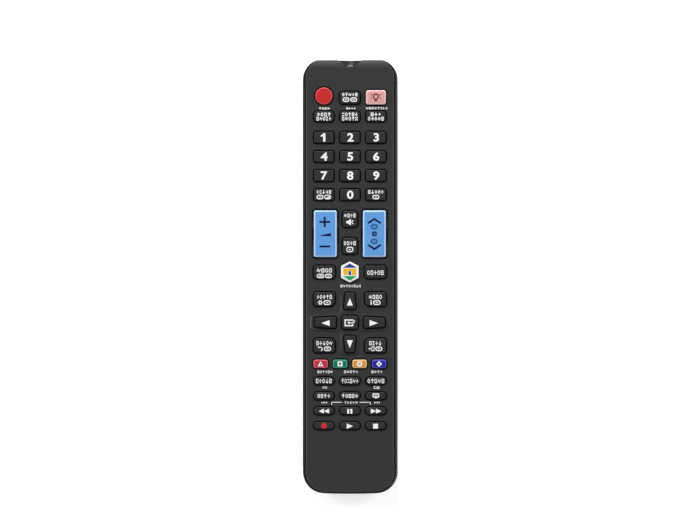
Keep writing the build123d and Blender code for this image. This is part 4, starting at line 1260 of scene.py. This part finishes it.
def component_paint(middle, normal):
    """The capacitor's sleeve between bare ends, the resonator's ceramic, and the chip's resin and legs."""
    if middle.y < CAPACITOR_HEAD:
        return 1 if CAPACITOR_SLEEVE[0] < middle.y < CAPACITOR_SLEEVE[1] and abs(normal.y) < 0.9 else 2
    if middle.y > RESONATOR_TAIL:
        return 3
    return 2 if abs(middle.x) > CHIP_HALF_WIDTH and middle.z > CHIP_LEGS_Z else 0


def make_cells():
    """Two cells: a printed sleeve with a band at the positive end, and bare steel at both ends."""
    bm = cad_mesh("battery_cells")
    for y in CELL_CUTS:
        cut(bm, (0, y, 0), (0, 1, 0))
    softened(bm, CELL_ROUNDING, 60)
    bm.normal_update()
    for face in bm.faces:
        middle = face.calc_center_median()
        from_centre = Vector((abs(middle.x) - CELL_X, middle.z - CELL_Z)).length
        positive = middle.y > CELL_MIDDLE if middle.x < 0 else middle.y < CELL_MIDDLE
        band = not CELL_CUTS[1] <= middle.y <= CELL_CUTS[2]
        face.material_index = 2 if from_centre < CELL_BARE_RADIUS else 1 if band and positive else 0
    make_piece(bm, "dry_cells", "case", ["cell_sleeve", "cell_band", "steel"], "battery_cells", 50)


def make_springs():
    """Two conical coils of round wire, wide at their plates and narrow at the cells."""
    bm = bmesh.new()
    steps = int(SPRING_TURNS * SPRING_STEPS)
    for x, y, way in SPRING_SEATS:
        rings = []
        for step in range(steps + 1):
            share = step / steps
            angle = 2 * pi * SPRING_TURNS * share
            radius, height = (low + (high - low) * share for low, high in (SPRING_RADII, SPRING_HEIGHTS))
            out, along = Vector((cos(angle), 0, way * sin(angle))), Vector((0, way, 0))
            centre = Vector((x, y + way * height, CELL_Z)) + out * radius
            sides = circle_loop(SPRING_WIRE, WIRE_SIDES)
            rings.append([bm.verts.new(centre + out * p.x + along * p.y) for p in sides])
        tube(bm, rings)
    make_piece(bm, "coil_springs", "case", ["nickel"], "battery_springs", 60)


def lathe(bm, profile, centre, mat=0, steps=40):
    """A closed form turned about a line along Y. The profile, radius and Y, starts and ends on the line."""
    rings = []
    for radius, y in profile[1:-1]:
        loop = circle_loop(radius, steps)
        rings.append([bm.verts.new((centre[0] + p.x, y, centre[1] + p.y)) for p in loop])
    for first, second in zip(rings, rings[1:]):
        bridge(bm, first, second, mat)
    for ring, (_, y) in ((rings[0], profile[0]), (rings[-1], profile[-1])):
        middle = bm.verts.new((centre[0], y, centre[1]))
        for first, second in zip(ring, ring[1:] + ring[:1]):
            bm.faces.new((first, second, middle)).material_index = mat


def make_emitter():
    """The infrared diode: clear resin with a domed tip and a flange, and two legs inside, one with a cup."""
    bm = bmesh.new()
    radius, length = DIODE_FLANGE
    base, shoulder = DIODE_BASE, DIODE_BASE + length
    profile = [
        (0, base), (radius - DIODE_BEVEL, base), (radius, base + DIODE_BEVEL),
        (radius, shoulder - DIODE_BEVEL), (radius - DIODE_BEVEL, shoulder),
        (DIODE_RADIUS + DIODE_FILLET, shoulder), (DIODE_RADIUS, shoulder + DIODE_FILLET),
    ]
    for step in range(DIODE_STEPS):
        turn = pi / 2 * step / DIODE_STEPS
        profile.append((DIODE_RADIUS * cos(turn), DIODE_TIP - DIODE_RADIUS + DIODE_RADIUS * sin(turn)))
    lathe(bm, profile + [(0, DIODE_TIP)], (0, DIODE_Z))
    square = rectangle(DIODE_LEG_WIDTH / 2, DIODE_LEG_WIDTH / 2)
    for x, end in DIODE_LEGS:
        ends = (DIODE_LEG_END, end)
        tube(bm, [[bm.verts.new((x + p[0], y, DIODE_Z + p[1])) for p in square] for y in ends], 1)
    lathe(bm, DIODE_CUP, (DIODE_CUP_X, DIODE_Z), 1, 20)
    make_piece(bm, "emitter", "case", ["lens", "tin"], "infrared_diode")


bpy.context.scene.view_settings.view_transform = "Standard"
make_camera()
make_world()
for lamp in LAMPS:
    make_lamp(*lamp)
make_floor()

for name in KEYS:
    make_key(name)
make_labels()
make_shell("face_shell", "top_shell", "case", ["face", "face_edge", "face_worn"], paint=paint_face_highlights)
make_shell("tray_shell", "bottom_shell", "case", ["shell"])
make_shell("bay_lid", "battery_cover", "battery_cover", ["shell"])
make_shell("key_sheet", "key_mat", "case", ["silicone"])
chip_mats = ["epoxy", "sleeve", "tin", "ceramic"]
make_shell("chip_set", "board_components", "case", chip_mats, 0.12, 50, component_paint)
make_emitter()
make_corner_bands()
make_rocker_rims()
make_cells()
make_springs()

for node, mat in (("circuit_board", "board"), ("battery_plates", "nickel")):
    nodes[node].data.materials.clear()
    nodes[node].data.materials.append(MATS[mat])
